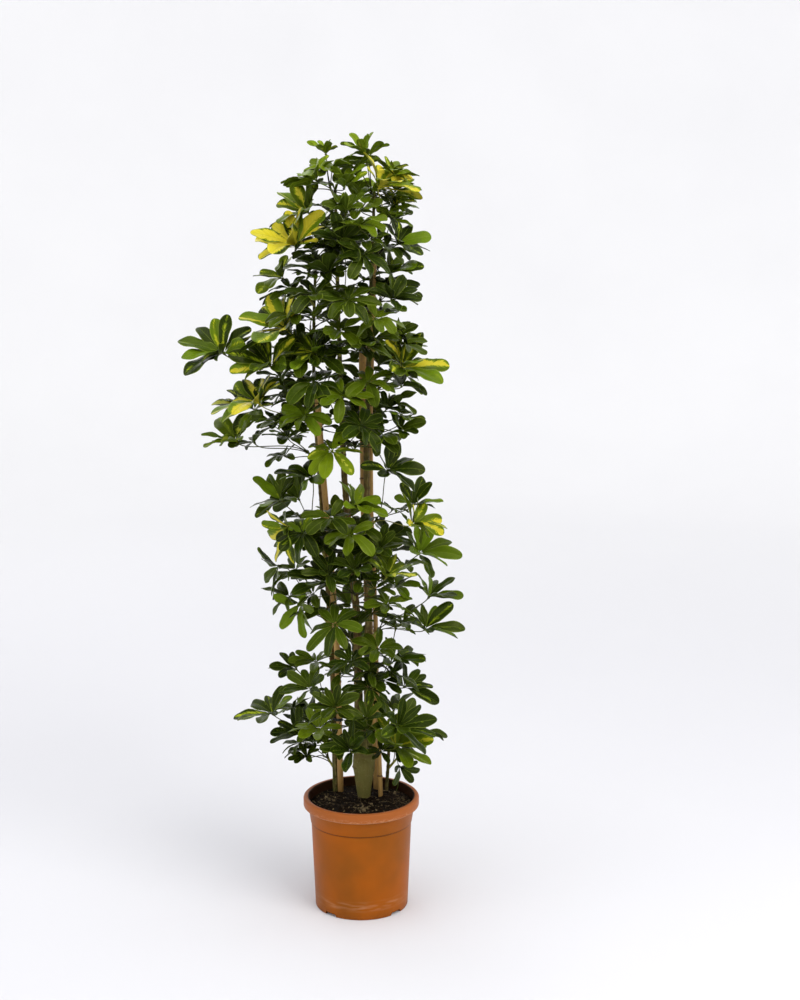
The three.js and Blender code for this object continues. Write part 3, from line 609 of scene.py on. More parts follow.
def bark_finish():
    """Stem bark with corky specks: green where the tint's red is high, brown where it is low, and evener
    where its blue is high."""
    f = Finish("bark", 0.15)
    streaks = f.noise((260, 260, 26), 4.0, 0.6)
    patches = f.noise(42.0, 3.0)
    cork = f.ramp(f.noise((420, 420, 210)), 0.62, 0.7)
    greenness = f.ramp(f.red + (patches - 0.5), 0.2, 0.8)
    lively = 1.0 - f.blue * 0.72
    f.colour = f.mix(greenness, (112, 88, 46), (78, 80, 30))
    f.paint(f.ramp(streaks, 0.45, 0.7) * lively, (136, 122, 74))
    f.paint(f.ramp(streaks, 0.5, 0.25, 0.0, 0.7) * lively, (58, 48, 22))
    f.paint(f.blue * 0.55, (122, 114, 60))
    f.paint(cork * 0.6, (146, 134, 90))
    f.paint(f.green * 0.7, (74, 58, 34))
    f.bump(streaks * 0.7 + cork * 0.3, 0.0012, 0.8)
    return f.done(streaks * 0.25 + 0.55)


def bamboo_finish():
    """Bamboo: tan with long fibres and brown weathering, darker at the joints that the tint's red marks."""
    f = Finish("bamboo", 0.25)
    fibres = f.noise((1100, 1100, 12), 3.0, 0.6)
    weather = f.noise((40, 40, 9), 4.0, 0.6)
    flecks = f.noise((500, 500, 90))
    f.colour = f.mix(f.green, (208, 166, 94), (182, 140, 74))
    f.paint(f.ramp(weather, 0.45, 0.75), (130, 98, 50))
    f.paint(fibres * 0.45, (200, 160, 100))
    f.paint(f.ramp(flecks, 0.66, 0.74, 0.0, 0.8), (80, 54, 30))
    f.paint(f.ramp(f.red, 0.1, 0.9, 0.0, 0.8), (78, 52, 28))
    # the tint's blue darkens the damp foot of the cane, and paints shade inside its open top
    f.paint(f.blue * 0.85, (66, 48, 30))
    f.bump(fibres, 0.0003, 0.6)
    return f.done(weather * 0.3 + 0.36)


def pot_finish():
    """Moulded terracotta-coloured plastic: satin, scuffed pale at the rim's lower edge and near the foot,
    with a painted highlight along the lip, and painted shade in the creases under the shoulder and the rim
    and on the inner wall above the compost. Heights and the distance from the axis are in metres."""
    f = Finish("terracotta_plastic", 0.14, (1, 0.8, 0.5, 1))
    x, y, z = f.split(f.place)
    round_the_pot = f.math("ARCTAN2", y, x)
    clouds = f.noise(9.0, 3.0)
    grain = f.noise(1400.0)
    scratches = f.noise((round_the_pot * 26.0, z * 900.0, 0.0), 4.0, 0.7)
    rubs = f.noise((round_the_pot * 14.0, z * 220.0, 3.0), 5.0, 0.8)
    smears = f.noise((round_the_pot * 3.0, z * 160.0, 8.0), 1.0, 0.4)
    f.colour = f.mix(f.ramp(clouds, 0.3, 0.7), (134, 74, 18), (158, 82, 15))
    rim = f.ramp(z, 0.2415, 0.2445)
    f.paint(rim * 0.8, (160, 90, 46))
    # painted shade in the creases under the shoulder step and under the rim
    shade_under_shoulder = f.band(z, 0.2025, 0.2055, 0.2062, 0.2085)
    shade_under_rim = f.band(z, 0.2375, 0.241, 0.2424, 0.2436)
    f.paint(f.math("MAXIMUM", shade_under_shoulder, shade_under_rim) * 0.8, (80, 40, 12))
    foot_band = f.band(z, 0.016, 0.030, 0.034, 0.050)
    lip_band = f.band(z, 0.2425, 0.2435, 0.2465, 0.256)
    # a pale line along the lip is a painted highlight, merged with the real scuffs
    lip_highlight = f.band(z, 0.2425, 0.2432, 0.2448, 0.2474)
    scuffs_and_highlight = lip_band * f.ramp(rubs, 0.46, 0.66, 0.0, 0.8)
    scuffs_and_highlight = f.math("MAXIMUM", scuffs_and_highlight, lip_highlight * f.ramp(clouds, 0.3, 0.7, 0.2, 0.5))
    scuffs_and_highlight = f.math("MAXIMUM", scuffs_and_highlight, foot_band * f.ramp(smears, 0.35, 0.8, 0.0, 0.42))
    scuffs_and_highlight = f.math("MAXIMUM", scuffs_and_highlight, f.ramp(scratches, 0.66, 0.76) * 0.14)
    f.paint(scuffs_and_highlight * 0.6, (208, 166, 130))
    soiling = f.ramp(z, 0.02, 0.0) * f.ramp(rubs, 0.35, 0.6)
    f.paint(soiling * 0.4, (110, 62, 30))
    # painted shade on the inner wall between the compost and the rim
    inside = f.ramp(f.from_axis(), 0.1262, 0.1246) * f.band(z, 0.2430, 0.2436, 0.2652, 0.2668)
    f.paint(inside * 0.94, (26, 17, 10))
    f.bump(grain * 0.4 + scuffs_and_highlight * 0.5, 0.0004, 0.5)
    return f.done(clouds * 0.12 + (scuffs_and_highlight * 0.3 + 0.36))


def soil_finish():
    """Damp peat: near black and brown crumbs."""
    f = Finish("peat", 0.05)
    crumbs = f.noise(260.0, 5.0, 0.7)
    damp = f.ramp(f.noise(24.0), 0.4, 0.7)
    f.colour = f.mix(f.ramp(crumbs, 0.35, 0.7), (8, 5, 2), (40, 26, 14))
    f.paint(damp * 0.5, (17, 12, 8))
    f.bump(crumbs, 0.004, 1.0)
    return f.done(crumbs * 0.3 + 0.65)


def chip_finish():
    """Bits on the compost: dark bark to pale grit, as pale as the tint's red says."""
    f = Finish("bark_chips", 0.12)
    grain = f.noise((600, 600, 300), 3.0, 0.6)
    f.colour = f.mix(f.green, (19, 13, 8), (54, 39, 24))
    f.paint(f.red, (146, 128, 94))
    f.paint(grain * 0.45, (22, 16, 11))
    f.bump(grain, 0.0008, 0.8)
    return f.done(grain * 0.2 + 0.7)


def tie_finish():
    """Soft dark green plant tie."""
    f = Finish("tie_plastic", 0.5)
    ribs = f.noise((200, 200, 1600))
    f.colour = f.mix(ribs, (26, 34, 24), (48, 58, 40))
    f.bump(ribs, 0.0003, 0.6)
    return f.done(ribs * 0.2 + 0.4)


def floor_finish():
    """Near-white floor, a little darker near the plant: painted shade that evens out the stronger lamp light
    there.
    """
    f = Finish("pale_floor", 0.1)
    weave = f.noise(1.3)
    # darker near the plant: painted shade against the stronger lamp light there
    f.colour = f.mix(f.ramp(f.from_axis(), 1.5, 6.5), (218, 218, 222), (251, 251, 252))
    f.paint(weave * 0.3, (228, 228, 231))
    return f.done(weave * 0.05 + 0.85)


LEAF = leaf_finish("leaf", (172, 174, 28), (206, 204, 88))
GOLD_LEAF = leaf_finish("gold_leaf", (180, 164, 10), (208, 198, 66))
PETIOLE = petiole_finish()
BARK = bark_finish()
BAMBOO = bamboo_finish()
PLASTIC = pot_finish()
PEAT = soil_finish()
CHIPS = chip_finish()
TIE = tie_finish()


def point_at(path, z):
    """The point of a centre line at a height."""
    above = 1
    while above < len(path) - 1 and path[above][2] <= z:
        above += 1
    low = np.array(path[above - 1], float)
    high = np.array(path[above], float)
    return low + (high - low) * (z - low[2]) / (high[2] - low[2])


def radius_at(stem, z):
    foot, tip, path = stem
    return foot + (tip - foot) * (z - path[0][2]) / (path[-1][2] - path[0][2])


def soft_line(path, heights):
    """Points of a centre line at these heights, with its bends rounded off."""
    low, high = path[0][2], path[-1][2]
    points = []
    for z in heights:
        room = min(BEND_REACH, z - low, high - z)
        points.append(sum(point_at(path, z + room * k) for k in (-1, -0.5, 0, 0.5, 1)) / 5)
    return np.array(points)


def grain_of(x, y, z):
    return noise.noise(Vector((x, y, z)))


def turned(profile, sides):
    """Points and faces of a profile of [radius, height] turned about the upright axis, closed on it."""
    points = [(0, 0, profile[0][1])]
    for radius, z in profile[1:-1]:
        points.extend((radius * cos(turn), radius * sin(turn), z) for turn in angles_round(sides))
    points.append((0, 0, profile[-1][1]))
    last = 1 + (len(profile) - 3) * sides
    faces = []
    for k in range(sides):
        after = (k + 1) % sides
        faces.append((0, 1 + after, 1 + k))
        for low in range(1, last, sides):
            faces.append((low + k, low + after, low + sides + after, low + sides + k))
        faces.append((last + k, last + after, len(points) - 1))
    return points, faces


def arc(centre, radius, start, end, steps):
    """Points of [radius, height] on a round corner, from one angle in degrees to another."""
    angles = np.radians(np.linspace(start, end, steps + 1))
    return [(centre[0] + radius * cos(a), centre[1] + radius * sin(a)) for a in angles]


def notch_cutter():
    """Blocks that cut the drainage notches into the pot's foot."""
    depth, height = NOTCH["depth"], NOTCH["height"]
    half_foot, half_top = NOTCH["foot_width"] / 2, NOTCH["top_width"] / 2
    right = [(half_foot, -4), (half_foot, 0), (half_top + 1.5, height - 1.5), (half_top - 1, height)]
    left = [(-x, z) for x, z in reversed(right)]
    outline = left[-1:] + right + left[:-1]
    count = len(outline)
    ends = [tuple(range(count)), tuple(range(2 * count - 1, count - 1, -1))]
    cutter = Gathered()
    for i in range(NOTCH["count"]):
        turn = (i + 0.5) * tau / NOTCH["count"] + radians(NOTCH["turn"])
        corners = []
        for y in (-depth / 2 - POT_FOOT, depth / 2 - POT_FOOT):
            for x, z in outline:
                corners.append((x * cos(turn) - y * sin(turn), x * sin(turn) + y * cos(turn), z))
        cutter.add(corners, ring_faces(2, count) + ends)
    return cutter.piece("notch_cutter", [PLASTIC])


def make_pot():
    """The pot: a turned shell with a shoulder band, a rolled rim and notches at the foot."""
    body, body_top = POT_BODY
    shoulder, shoulder_foot = POT_SHOULDER
    foot_inner = POT_FOOT - POT_WALL
    rim_top = POT_HEIGHT - 1
    profile = [(0, 0), (foot_inner - 10, 0)]
    profile += arc((POT_FOOT - FOOT_ROUND, FOOT_ROUND), FOOT_ROUND, -90, 0, 4)
    profile += [(body - 0.2, body_top - 3), (body - 0.3, body_top)]
    profile += arc((body + POT_STEP - 1, body_top + 1.6), 1, -70, 0, 3)
    profile += [(shoulder - 0.6, shoulder_foot - 1), (shoulder + 1.5, RIM_FOOT - 0.6)]
    profile += arc((RIM_RADIUS - LIP_ROUND, RIM_FOOT + LIP_ROUND), LIP_ROUND, -85, 0, 5)
    profile += arc((RIM_RADIUS - RIM_ROUND, rim_top - RIM_ROUND), RIM_ROUND, 8, 90, 6)
    profile += arc((RIM_INNER + FOOT_ROUND, rim_top - FOOT_ROUND), FOOT_ROUND, 90, 175, 4)
    profile += [(shoulder - POT_WALL, shoulder_foot), (body - POT_WALL, body_top)]
    profile += arc((foot_inner - LIP_ROUND, POT_FLOOR + LIP_ROUND), LIP_ROUND, 0, -90, 3)
    profile += [(0, POT_FLOOR)]
    shell = Gathered()
    shell.add(*turned(profile, POT_SIDES))
    pot = shell.piece("nursery_pot", [PLASTIC], "pot", sharp=POT_SHARP)

    block = notch_cutter()
    cut = pot.modifiers.new("notches", "BOOLEAN")
    cut.operation = "DIFFERENCE"
    cut.object = block
    graph = bpy.context.evaluated_depsgraph_get()
    data = bpy.data.meshes.new_from_object(pot.evaluated_get(graph))
    pot.modifiers.remove(cut)
    pot.data = data
    data.set_sharp_from_angle(angle=radians(POT_SHARP))
    bpy.data.objects.remove(block)


def soil_height(x, y):
    """The compost's surface: gently heaped, lumpy, and sunk a little along the wall."""
    reach = hypot(x, y) / SOIL_BRIM
    lumps = 2.2 * grain_of(x / 13, y / 13, 0.5) + 1.3 * grain_of(x / 4.5, y / 4.5, 4.5)
    heap = SOIL_LEVEL + SOIL_HEAP * (1 - reach * reach)
    return heap + lumps * min(1, 6 * (1.02 - reach)) - 2.5 * reach ** 12


def make_soil():
    """The compost: a turned block inside the pot, with a lumpy surface."""
    inside = POT_FOOT - POT_WALL
    profile = [(0, POT_FLOOR + 0.3), (inside - 4, POT_FLOOR + 0.3), (inside - 0.6, 8)]
    profile += [(POT_BODY[0] - POT_WALL - 0.3, POT_BODY[1]), (SOIL_BRIM, POT_SHOULDER[1])]
    surface = 1 + (len(profile) - 1) * SOIL_SIDES
    profile += [(SOIL_BRIM * (1 - i / SOIL_RINGS), SOIL_LEVEL) for i in range(SOIL_RINGS)]
    profile += [(0, SOIL_LEVEL)]
    points, faces = turned(profile, SOIL_SIDES)
    points = points[:surface] + [(x, y, soil_height(x, y)) for x, y, _ in points[surface:]]
    soil = Gathered()
    soil.add(points, faces)
    soil.piece("compost", [PEAT], "soil", sharp=80)


def chip(gathered, centre, size, draw, tint):
    """A flat broken bit: an uneven five-sided slab, turned and tilted."""
    turn = draw.uniform(0, tau)
    long_way = unit(np.array([cos(turn), sin(turn), draw.uniform(-0.45, 0.45)]))
    short_way = unit(np.cross(np.array([draw.uniform(-0.4, 0.4), draw.uniform(-0.4, 0.4), 1]), long_way))
    thick_way = np.cross(long_way, short_way)
    length, width, thickness = size
    points = []
    for side in (-0.5, 0.5):
        for k in range(5):
            angle = tau * k / 5
            reach = draw.uniform(0.35, 0.55)
            slope = draw.uniform(0.8, 1.2)
            point = centre + long_way * length * reach * cos(angle)
            point = point + short_way * width * reach * sin(angle)
            points.append(point + thick_way * side * thickness * slope)
    gathered.add(points, [(4, 3, 2, 1, 0), (5, 6, 7, 8, 9)] + ring_faces(2, 5), tint=tint)


def make_soil_bits():
    """Chips all over the compost, patches of larger pale bits, and root hairs."""
    draw = random.Random(BITS_SEED)
    bits = Gathered()
    for _ in range(CHIPS_ALL_OVER):
        reach = SOIL_BRIM * sqrt(draw.random()) * 0.97
        turn = draw.uniform(0, tau)
        x, y = reach * cos(turn), reach * sin(turn)
        size = (draw.uniform(2.5, 9), draw.uniform(1.8, 4.5), draw.uniform(1, 2.6))
        pale = draw.random() ** 6 * 0.8
        centre = np.array([x, y, soil_height(x, y) + size[2] * 0.25])
        chip(bits, centre, size, draw, (pale, draw.random(), 0, 1))
    for spot, spread, count, largest in PALE_PATCHES:
        for _ in range(count):
            x = draw.gauss(spot[0], spread)
            y = draw.gauss(spot[1], spread * 0.8)
            size = (draw.uniform(4, largest), draw.uniform(3, 6), draw.uniform(1.5, 3.5))
            centre = np.array([x, y, soil_height(x, y) + size[2] * 0.35])
            chip(bits, centre, size, draw, (draw.uniform(0.35, 1), draw.random(), 0, 1))
    bits.piece("bark_and_grit", [CHIPS], sharp=30)

    hairs = Gathered()
    for spot, spread, count in HAIR_PATCHES:
        for _ in range(count):
            x, y = draw.gauss(spot[0], spread), draw.gauss(spot[1], spread)
            heading = draw.uniform(0, tau)
            line = []
            for step in range(9):
                if hypot(x, y) > SOIL_BRIM - 4:
                    break
                hump = 2.6 * sin(pi * step / 8)
                line.append((x, y, soil_height(x, y) + 0.3 + hump))
                heading += draw.uniform(-0.5, 0.5)
                x += HAIR_STEP * cos(heading)
                y += HAIR_STEP * sin(heading)
            if len(line) > 3:
                radii = np.linspace(0.38, 0.16, len(line))
                hairs.tube(line, radii, 4, (draw.uniform(0.2, 0.95), draw.random(), 0, 1))
    hairs.piece("root_hairs", [CHIPS])


def add_stem(gathered, stem, seed, flare=0):
    """A woody stem: tapered and a little uneven, with a raised scar where each old leaf stood.

    The flare is how far it swells where it leaves the root stock."""
    draw = random.Random(seed)
    foot, top = stem[2][0][2], stem[2][-1][2]
    heights = np.arange(foot, top + 0.1, (top - foot) / round((top - foot) / STEM_STEP))
    scars = []
    z = foot + SCARS_FROM
    while z < top - SCARS_END:
        scars.append((z, draw.uniform(0, tau)))
        z += draw.uniform(*SCAR_GAP)
    radii, tints = [], []
    for z in heights:
        swell = exp(-((z - foot - 35) / 34) ** 2)
        radius = radius_at(stem, z) + flare * swell
        ring = []
        scarred = 0
        for turn in angles_round(STEM_SIDES):
            uneven = 1 + 0.07 * grain_of(cos(turn) * 1.1, sin(turn) * 1.1, z / 34 + seed)
            for scar, facing in scars:
                closeness = max(0, 1 - abs(z - scar) / SCAR_REACH)
                if closeness:
                    uneven += 0.09 * closeness * (1 + cos(turn - facing))
                    scarred = max(scarred, closeness)
            ring.append(radius * uneven)
        radii.append(ring)
        calm = min(1, 1.4 * swell) if flare else 0
        tints.append((np.interp(z, *GREENNESS), scarred * 0.8, calm, 1))
    gathered.tube(soft_line(stem[2], heights), radii, STEM_SIDES, tints)


def bud(gathered, seat, way, size, draw):
    """A growing tip: a pointed bud with a few young folded leaflets round it."""
    steps = np.linspace(0, 1, 6)
    line = [seat + way * size * 2.4 * step for step in steps]
    gathered.tube(line, [size * (1 - step) ** 0.6 + 0.15 for step in steps], 8, (0.2, 0.5, 0.9, 0), 1)
    front = unit(np.cross(way, (0.3, 1, 0.2)))
    across = np.cross(way, front)
    for k in range(4):
        look = {"width": 0.3, "fold": 0.8, "twist": draw.uniform(-0.3, 0.3), "wave": draw.random()}
        shape = {"angle": k * 2.1 + draw.random(), "length": size * draw.uniform(3.5, 6.5),
                 "rise": radians(draw.uniform(58, 78)), "curl": radians(20)}
        leaflet(gathered, (seat, way, front, across), shape, look, (0.15, draw.random(), 1, 0), 2)


def tip_bud(gathered, path, size, draw):
    """A bud that sits 2 mm deep on the end of a stem."""
    end = np.array(path[-1], float)
    way = unit(end - np.array(path[-2], float))
    bud(gathered, end - way * 2, way, size, draw)


def blade_faces():
    """Faces of a blade: top and underside share the base, the tip and both margins."""
    width = 2 * BLADE_HALF_COLUMNS + 1
    inner = width - 2
    below = 2 + (BLADE_ROWS - 1) * width

    def top(row, column):
        return 2 + (row - 1) * width + column

    def under(row, column):
        if column in (0, width - 1):
            return top(row, column)
        return below + (row - 1) * inner + column - 1

    faces = []
    last = BLADE_ROWS - 1
    for column in range(width - 1):
        for sheet, flip in ((top, False), (under, True)):
            rows = [(0, sheet(1, column + 1), sheet(1, column))]
            for row in range(1, last):
                rows.append((sheet(row, column), sheet(row, column + 1),
                             sheet(row + 1, column + 1), sheet(row + 1, column)))
            rows.append((sheet(last, column), sheet(last, column + 1), 1))
            faces.extend(face[::-1] if flip else face for face in rows)
    return faces


BLADE_FACES = blade_faces()


def arched(shape, distance):
    """How far out and up a point lies along a leaflet that rises and then curls down, and its slope."""
    bend = shape["curl"] * distance / shape["length"]
    radius = shape["length"] / shape["curl"]
    slope = shape["rise"] - bend
    out = radius * (sin(shape["rise"]) - np.sin(slope))
    up = radius * (np.cos(slope) - cos(shape["rise"]))
    return out, up, slope


def leaflet(gathered, seat, shape, look, tint, finish=0):
    """One leaflet on its stalklet: a thin closed blade, blunt at the tip and folded along its midrib."""
    hub, normal, front, across = seat
    angle, length = shape["angle"], shape["length"]
    radial = front * cos(angle) + across * sin(angle)
    side = across * cos(angle) - front * sin(angle)
    shares = 1 - (1 - np.linspace(0, 1, BLADE_ROWS + 1)) ** 1.6
    out, up, slope = arched(shape, length * (STALK + (1 - STALK) * shares))
    line = hub + np.outer(out, radial) + np.outer(up, normal)
    above = np.outer(-np.sin(slope), radial) + np.outer(np.cos(slope), normal)
    turn = look["twist"] * shares
    sideways = np.cos(turn)[:, None] * side + np.sin(turn)[:, None] * above
    above = np.cos(turn)[:, None] * above - np.sin(turn)[:, None] * side

    half = look["width"] * length / 2 * shares ** BASE_POWER * (1 - shares) ** TIP_POWER / OUTLINE_PEAK
    columns = np.linspace(-1, 1, 2 * BLADE_HALF_COLUMNS + 1)
    reach = np.abs(columns)
    wave = np.sin(tau * (1.7 * shares[:, None] + look["wave"] + 0.4 * (columns > 0)))
    lift = half[:, None] * (look["fold"] * (reach - 0.55 * reach ** 3) + 0.17 * wave * reach ** 2)
    sheet = line[:, None, :] + (half[:, None] * columns)[:, :, None] * sideways[:, None, :]
    sheet = sheet + lift[:, :, None] * above[:, None, :]
    plump = 0.32 * (1 - columns ** 2)
    rib = 0.75 * np.exp(-((columns / 0.2) ** 2)) * (1 - 0.8 * shares[:, None])
    top = sheet + plump[None, :, None] * above[:, None, :]
    under = sheet - (plump[None, :] + rib)[:, :, None] * above[:, None, :]

    inner = slice(1, -1)
    top, under = top[inner].reshape(-1, 3), under[inner, inner].reshape(-1, 3)
    points = np.concatenate([line[:1], line[-1:], top, under])
    along, spread = np.meshgrid(shares[inner], columns, indexing="ij")
    uvs = [(0, 0), (1, 0), *zip(along.ravel(), spread.ravel())]
    uvs += zip(along[:, inner].ravel(), spread[:, inner].ravel())
    tints = np.tile(np.asarray(tint, float), (len(points), 1))
    tints[-len(under):, 3] = 1
    gathered.add(points, BLADE_FACES, uvs, tints, finish)

    stalk_out, stalk_up, _ = arched(shape, length * np.linspace(0, STALK + 0.05, 4))
    stalk = hub + np.outer(stalk_out, radial) + np.outer(stalk_up, normal)
    gathered.tube(stalk, [1.0, 0.75, 0.7, 0.55], 5, tint, finish)


def draws(seed):
    """Park-Miller draws between 0 and 1."""
    state = seed
    while True:
        state = state * 16807 % 2147483647
        yield state / 2147483647


def shoot_plan(row):
    """A shoot's root on its stem, the way it grows and where it ends."""
    stem = STEMS[row[0]]
    root = point_at(stem[2], row[1])
    way = sum(unit(np.array([leaf[0] - root[0], leaf[1] - root[1], 0])) for leaf in row[2:])
    way = unit(unit(way) * SHOOT_SPREAD + UP)
    return root, way, root + way * (radius_at(stem, row[1]) + SHOOT_LENGTH)


def leaf_seat(root, leaf, moves):
    """A leaf's hub after a number of moves, and its blade's normal, front and across directions."""
    x, y, z, _, habit, *facing = leaf
    turn = radians(facing[0]) if facing else atan2(y - root[1], x - root[0])
    out = np.array([cos(turn), sin(turn), 0])
    reach = MOVE_STEP * sqrt(moves)
    hub = np.array([x, y, z], float) + np.cross(UP, out) * reach * cos(GOLDEN_ANGLE * moves)
    hub = hub + UP * reach * sin(GOLDEN_ANGLE * moves)
    lean = radians(habit["lean"])
    normal = UP * cos(lean) + out * sin(lean)
    front = out * cos(lean) - UP * sin(lean)
    return hub, normal, front, np.cross(normal, front)


def leaflet_shapes(leaf, seed, moves, more=0):
    """Angle, length, rise and curl of each of a leaf's leaflets."""
    habit = leaf[4]
    length = leaf[3] * FORESHORTENED
    draw = draws(seed)
    spin = radians(MOVE_SPIN * moves) + 2 * next(draw)
    count = min(MOST_LEAFLETS, max(LEAST_LEAFLETS, int(length / LENGTH_EACH + 0.5))) + more
    shapes = []
    for i in range(count):
        angle = spin + tau / count * (i + 0.3 * (next(draw) - 0.5))
        share = 0.88 + 0.12 * cos(angle) - 0.12 * next(draw)
        rise = radians(habit["rise"] + 10 * (next(draw) - 0.5))
        curl = radians(habit["curl"])
        shapes.append({"angle": angle, "length": length * share, "rise": rise, "curl": curl})
    return shapes


def moves_of(root, leaf, seed, corners):
    """How many moves took the leaf to its place: as many as put its tips on the node's corners."""
    best, found = -1, 0
    for moves in range(MOST_MOVES + 1):
        hub, normal, front, across = leaf_seat(root, leaf, moves)
        met = 0
        shapes = leaflet_shapes(leaf, seed, moves)
        for shape in shapes:
            out, up, _ = arched(shape, shape["length"])
            tip = hub + out * (front * cos(shape["angle"]) + across * sin(shape["angle"]))
            tip = tip + normal * (up + BLADE_THICKNESS / 2)
            met += np.min(np.linalg.norm(corners - tip, axis=1)) < TIP_MET
        if met > best:
            best, found = met, moves
        if met > ENOUGH_MET * len(shapes):
            break
    return found


def tipped(seat, draw):
    """A leaf's seat with its blade tipped a little at random."""
    hub, normal, front, across = seat
    forward, aside = (tan(radians(draw.uniform(-MOST_TIPPED, MOST_TIPPED))) for _ in range(2))
    normal = unit(normal + front * forward + across * aside)
    front = unit(front - normal * np.dot(front, normal))
    return hub, normal, front, np.cross(normal, front)


def grow_leaf(shoot, start, way, seat, shapes, habit, yellow, youth, draw):
    """A compound leaf: a petiole from the shoot to the hub, and leaflets that share a random depth of
    colour, lowered as painted shade on leaves that face the front.
    """
    hub, normal, front, _ = seat
    # painted shade: leaves that face the front get a darker depth of tone
    tone_and_front_shade = draw.random() * (0.6 if front[1] < -0.6 else 1)
    span = np.linalg.norm(start - hub) * PETIOLE_BOW
    first, second = start + way * span, hub - normal * span * 0.6
    t = np.linspace(0, 1, 18)[:, None]
    line = (1 - t) ** 3 * start + 3 * t * (1 - t) ** 2 * first + 3 * t * t * (1 - t) * second + t ** 3 * hub
    swell = 1.1 + 1.4 * np.exp(-t[:, 0] * 16) + 2.4 * np.exp(-(1 - t[:, 0]) * 30)
    tints = [(yellow, draw.random(), share, 1) for share in t[:, 0]]
    shoot.tube(line, swell, 8, tints, 1)
    seat = tipped(seat, draw)
    for shape in shapes:
        shape["angle"] += draw.uniform(*STRAY["angle"])
        shape["rise"] += radians(draw.uniform(*STRAY["rise"]))
        shape["curl"] *= draw.uniform(*STRAY["curl"])
        shape["length"] *= draw.uniform(*STRAY["length"])
        width = draw.uniform(*STRAY["width"]) * (SLENDER if hub[2] < SLENDER_BELOW else 1)
        look = {"width": width, "fold": habit["fold"] * draw.uniform(*STRAY["fold"]),
                "twist": draw.uniform(*STRAY["twist"]), "wave": draw.random()}
        own = draw.random()
        depth = own if yellow > 0.2 else 0.65 * tone_and_front_shade + 0.35 * own
        tint = (yellow + draw.uniform(-0.22, 0.16), depth, max(0, youth + draw.uniform(-0.1, 0.1)), 0)
        leaflet(shoot, seat, shape, look, tint)


def young_at(z):
    """How young the leaves are at a height: old and dark below the crown, fresh at its tips."""
    return max(0, (z - YOUNG_FROM) / YOUNG_REACH)


def grow_inner_leaves(shoot, index, row, plan, draw):
    """Small leaves between a shoot's measured ones and its stem, apart from where the stems are bare."""
    root, way, end = plan
    for order in range(INNER_LEAVES):
        x, y, z = row[2 + order % len(row[2:])][:3]
        heading = atan2(y - root[1], x - root[0]) + draw.uniform(-1.3, 1.3)
        distance = 26 + hypot(x - root[0], y - root[1]) * draw.uniform(0.25, 0.7)
        height = root[2] + (z - root[2]) * draw.uniform(0.25, 0.95) + draw.uniform(-10, 20)
        x, y = root[0] + distance * cos(heading), root[1] + distance * sin(heading)
        leaf = (x, y, height, draw.uniform(*INNER_LENGTH), HAND)
        if any(foot < height < top for foot, top in BARE):
            continue
        shapes = leaflet_shapes(leaf, INNER_SEED + 7 * index + order, 0, 2)
        start = end - way * (8 + 4 * order)
        youth = 0.7 * young_at(height) + draw.uniform(0, 0.25)
        grow_leaf(shoot, start, way, leaf_seat(root, leaf, 0), shapes, HAND, 0, youth, draw)


def make_shoot(index, name, row):
    """A leafy shoot: its stub and bud, its measured leaves and its inner ones."""
    root, way, end = plan = shoot_plan(row)
    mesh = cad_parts[name].data
    corners = np.empty(len(mesh.vertices) * 3, np.float32)
    mesh.vertices.foreach_get("co", corners)
    corners = corners.reshape(-1, 3) / MM
    shoot = Gathered()
    draw = random.Random(index + SHOOT_SEED)
    steps = np.linspace(0, 1, 12)
    radii = SHOOT_RADIUS * (1 - 0.25 * steps) * (1 + 0.09 * np.cos(steps * 38))
    stub = [root + (end - root) * step for step in steps]
    shoot.tube(stub, radii, 10, (0.8, 0.3, 0.4, 1), 1)
    bud(shoot, end - way * 1.5, way, SHOOT_BUD, draw)
    for order, leaf in enumerate(row[2:]):
        seed = LEAF_SEED + 7 * index + order
        moves = moves_of(root, leaf, seed, corners)
        youth = young_at(leaf[2]) + draw.uniform(-0.1, 0.16) + 0.34 * (draw.random() > 0.86)
        if order in LIME.get(name, ()):
            youth += LIME_YOUTH
        start = end + way * (-3 - 5 * order)
        shapes = leaflet_shapes(leaf, seed, moves, leaf[4]["more"])
        yellow = GOLD.get(name, (0, 0, 0))[order]
        grow_leaf(shoot, start, way, leaf_seat(root, leaf, moves), shapes, leaf[4], yellow, youth, draw)
    grow_inner_leaves(shoot, index, row, plan, draw)
    gold = name in GOLD_SLOTS
    blade = GOLD_LEAF if gold else LEAF
    shoot.piece(name + "_foliage", [blade, PETIOLE], name)


def add_stock(gathered):
    """The root stock, which narrows to its root and is rounded off at its top."""
    path = STOCK[2] + [STOCK_TOP]
    heights = [200, 215, 230, 242, *range(250, 339, 8), 345, 350, 353]
    line = [point_at(path, min(z, STOCK_TOP[2])) + UP * max(0, z - STOCK_TOP[2]) for z in heights]
    radii = []
    for z in heights:
        radius = radius_at(STOCK, min(z, STOCK[2][-1][2]))
        radius *= sqrt(max(0.04, 1 - (max(0, z - STOCK_ROUND_FROM) / STOCK_ROUND_REACH) ** 2))
        ring = []
        for k in range(STOCK_SIDES):
            turn = tau * k / STOCK_SIDES
            ribs = 0.05 * cos(3 * turn + 0.6)
            ribs += 0.07 * grain_of(2 * cos(turn), 2 * sin(turn), z / 30)
            ring.append(radius * (1 + ribs))
        radii.append(ring)
    gathered.tube(line, radii, STOCK_SIDES, (0.72, 0, 1, 1))


def make_stems():
    """The root stock with its two leaders, and the two stems beside it."""
    draw = random.Random(BUD_SEED)
    finishes = [BARK, PETIOLE, LEAF]
    trunk = Gathered()
    add_stock(trunk)
    for seed, name in ((1, "middle"), (2, "right")):
        add_stem(trunk, STEMS[name], seed, flare=STOCK_FLARE)
        tip_bud(trunk, STEMS[name][2], LEADER_BUD, draw)
    trunk.piece("rooted_trunk", finishes, "trunk", sharp=60)
    for seed, name in ((3, "left"), (4, "low")):
        stem = Gathered()
        add_stem(stem, STEMS[name], seed)
        tip_bud(stem, STEMS[name][2], STEM_BUD, draw)
        stem.piece(name + "_stem", finishes, "stem_" + name, sharp=60)


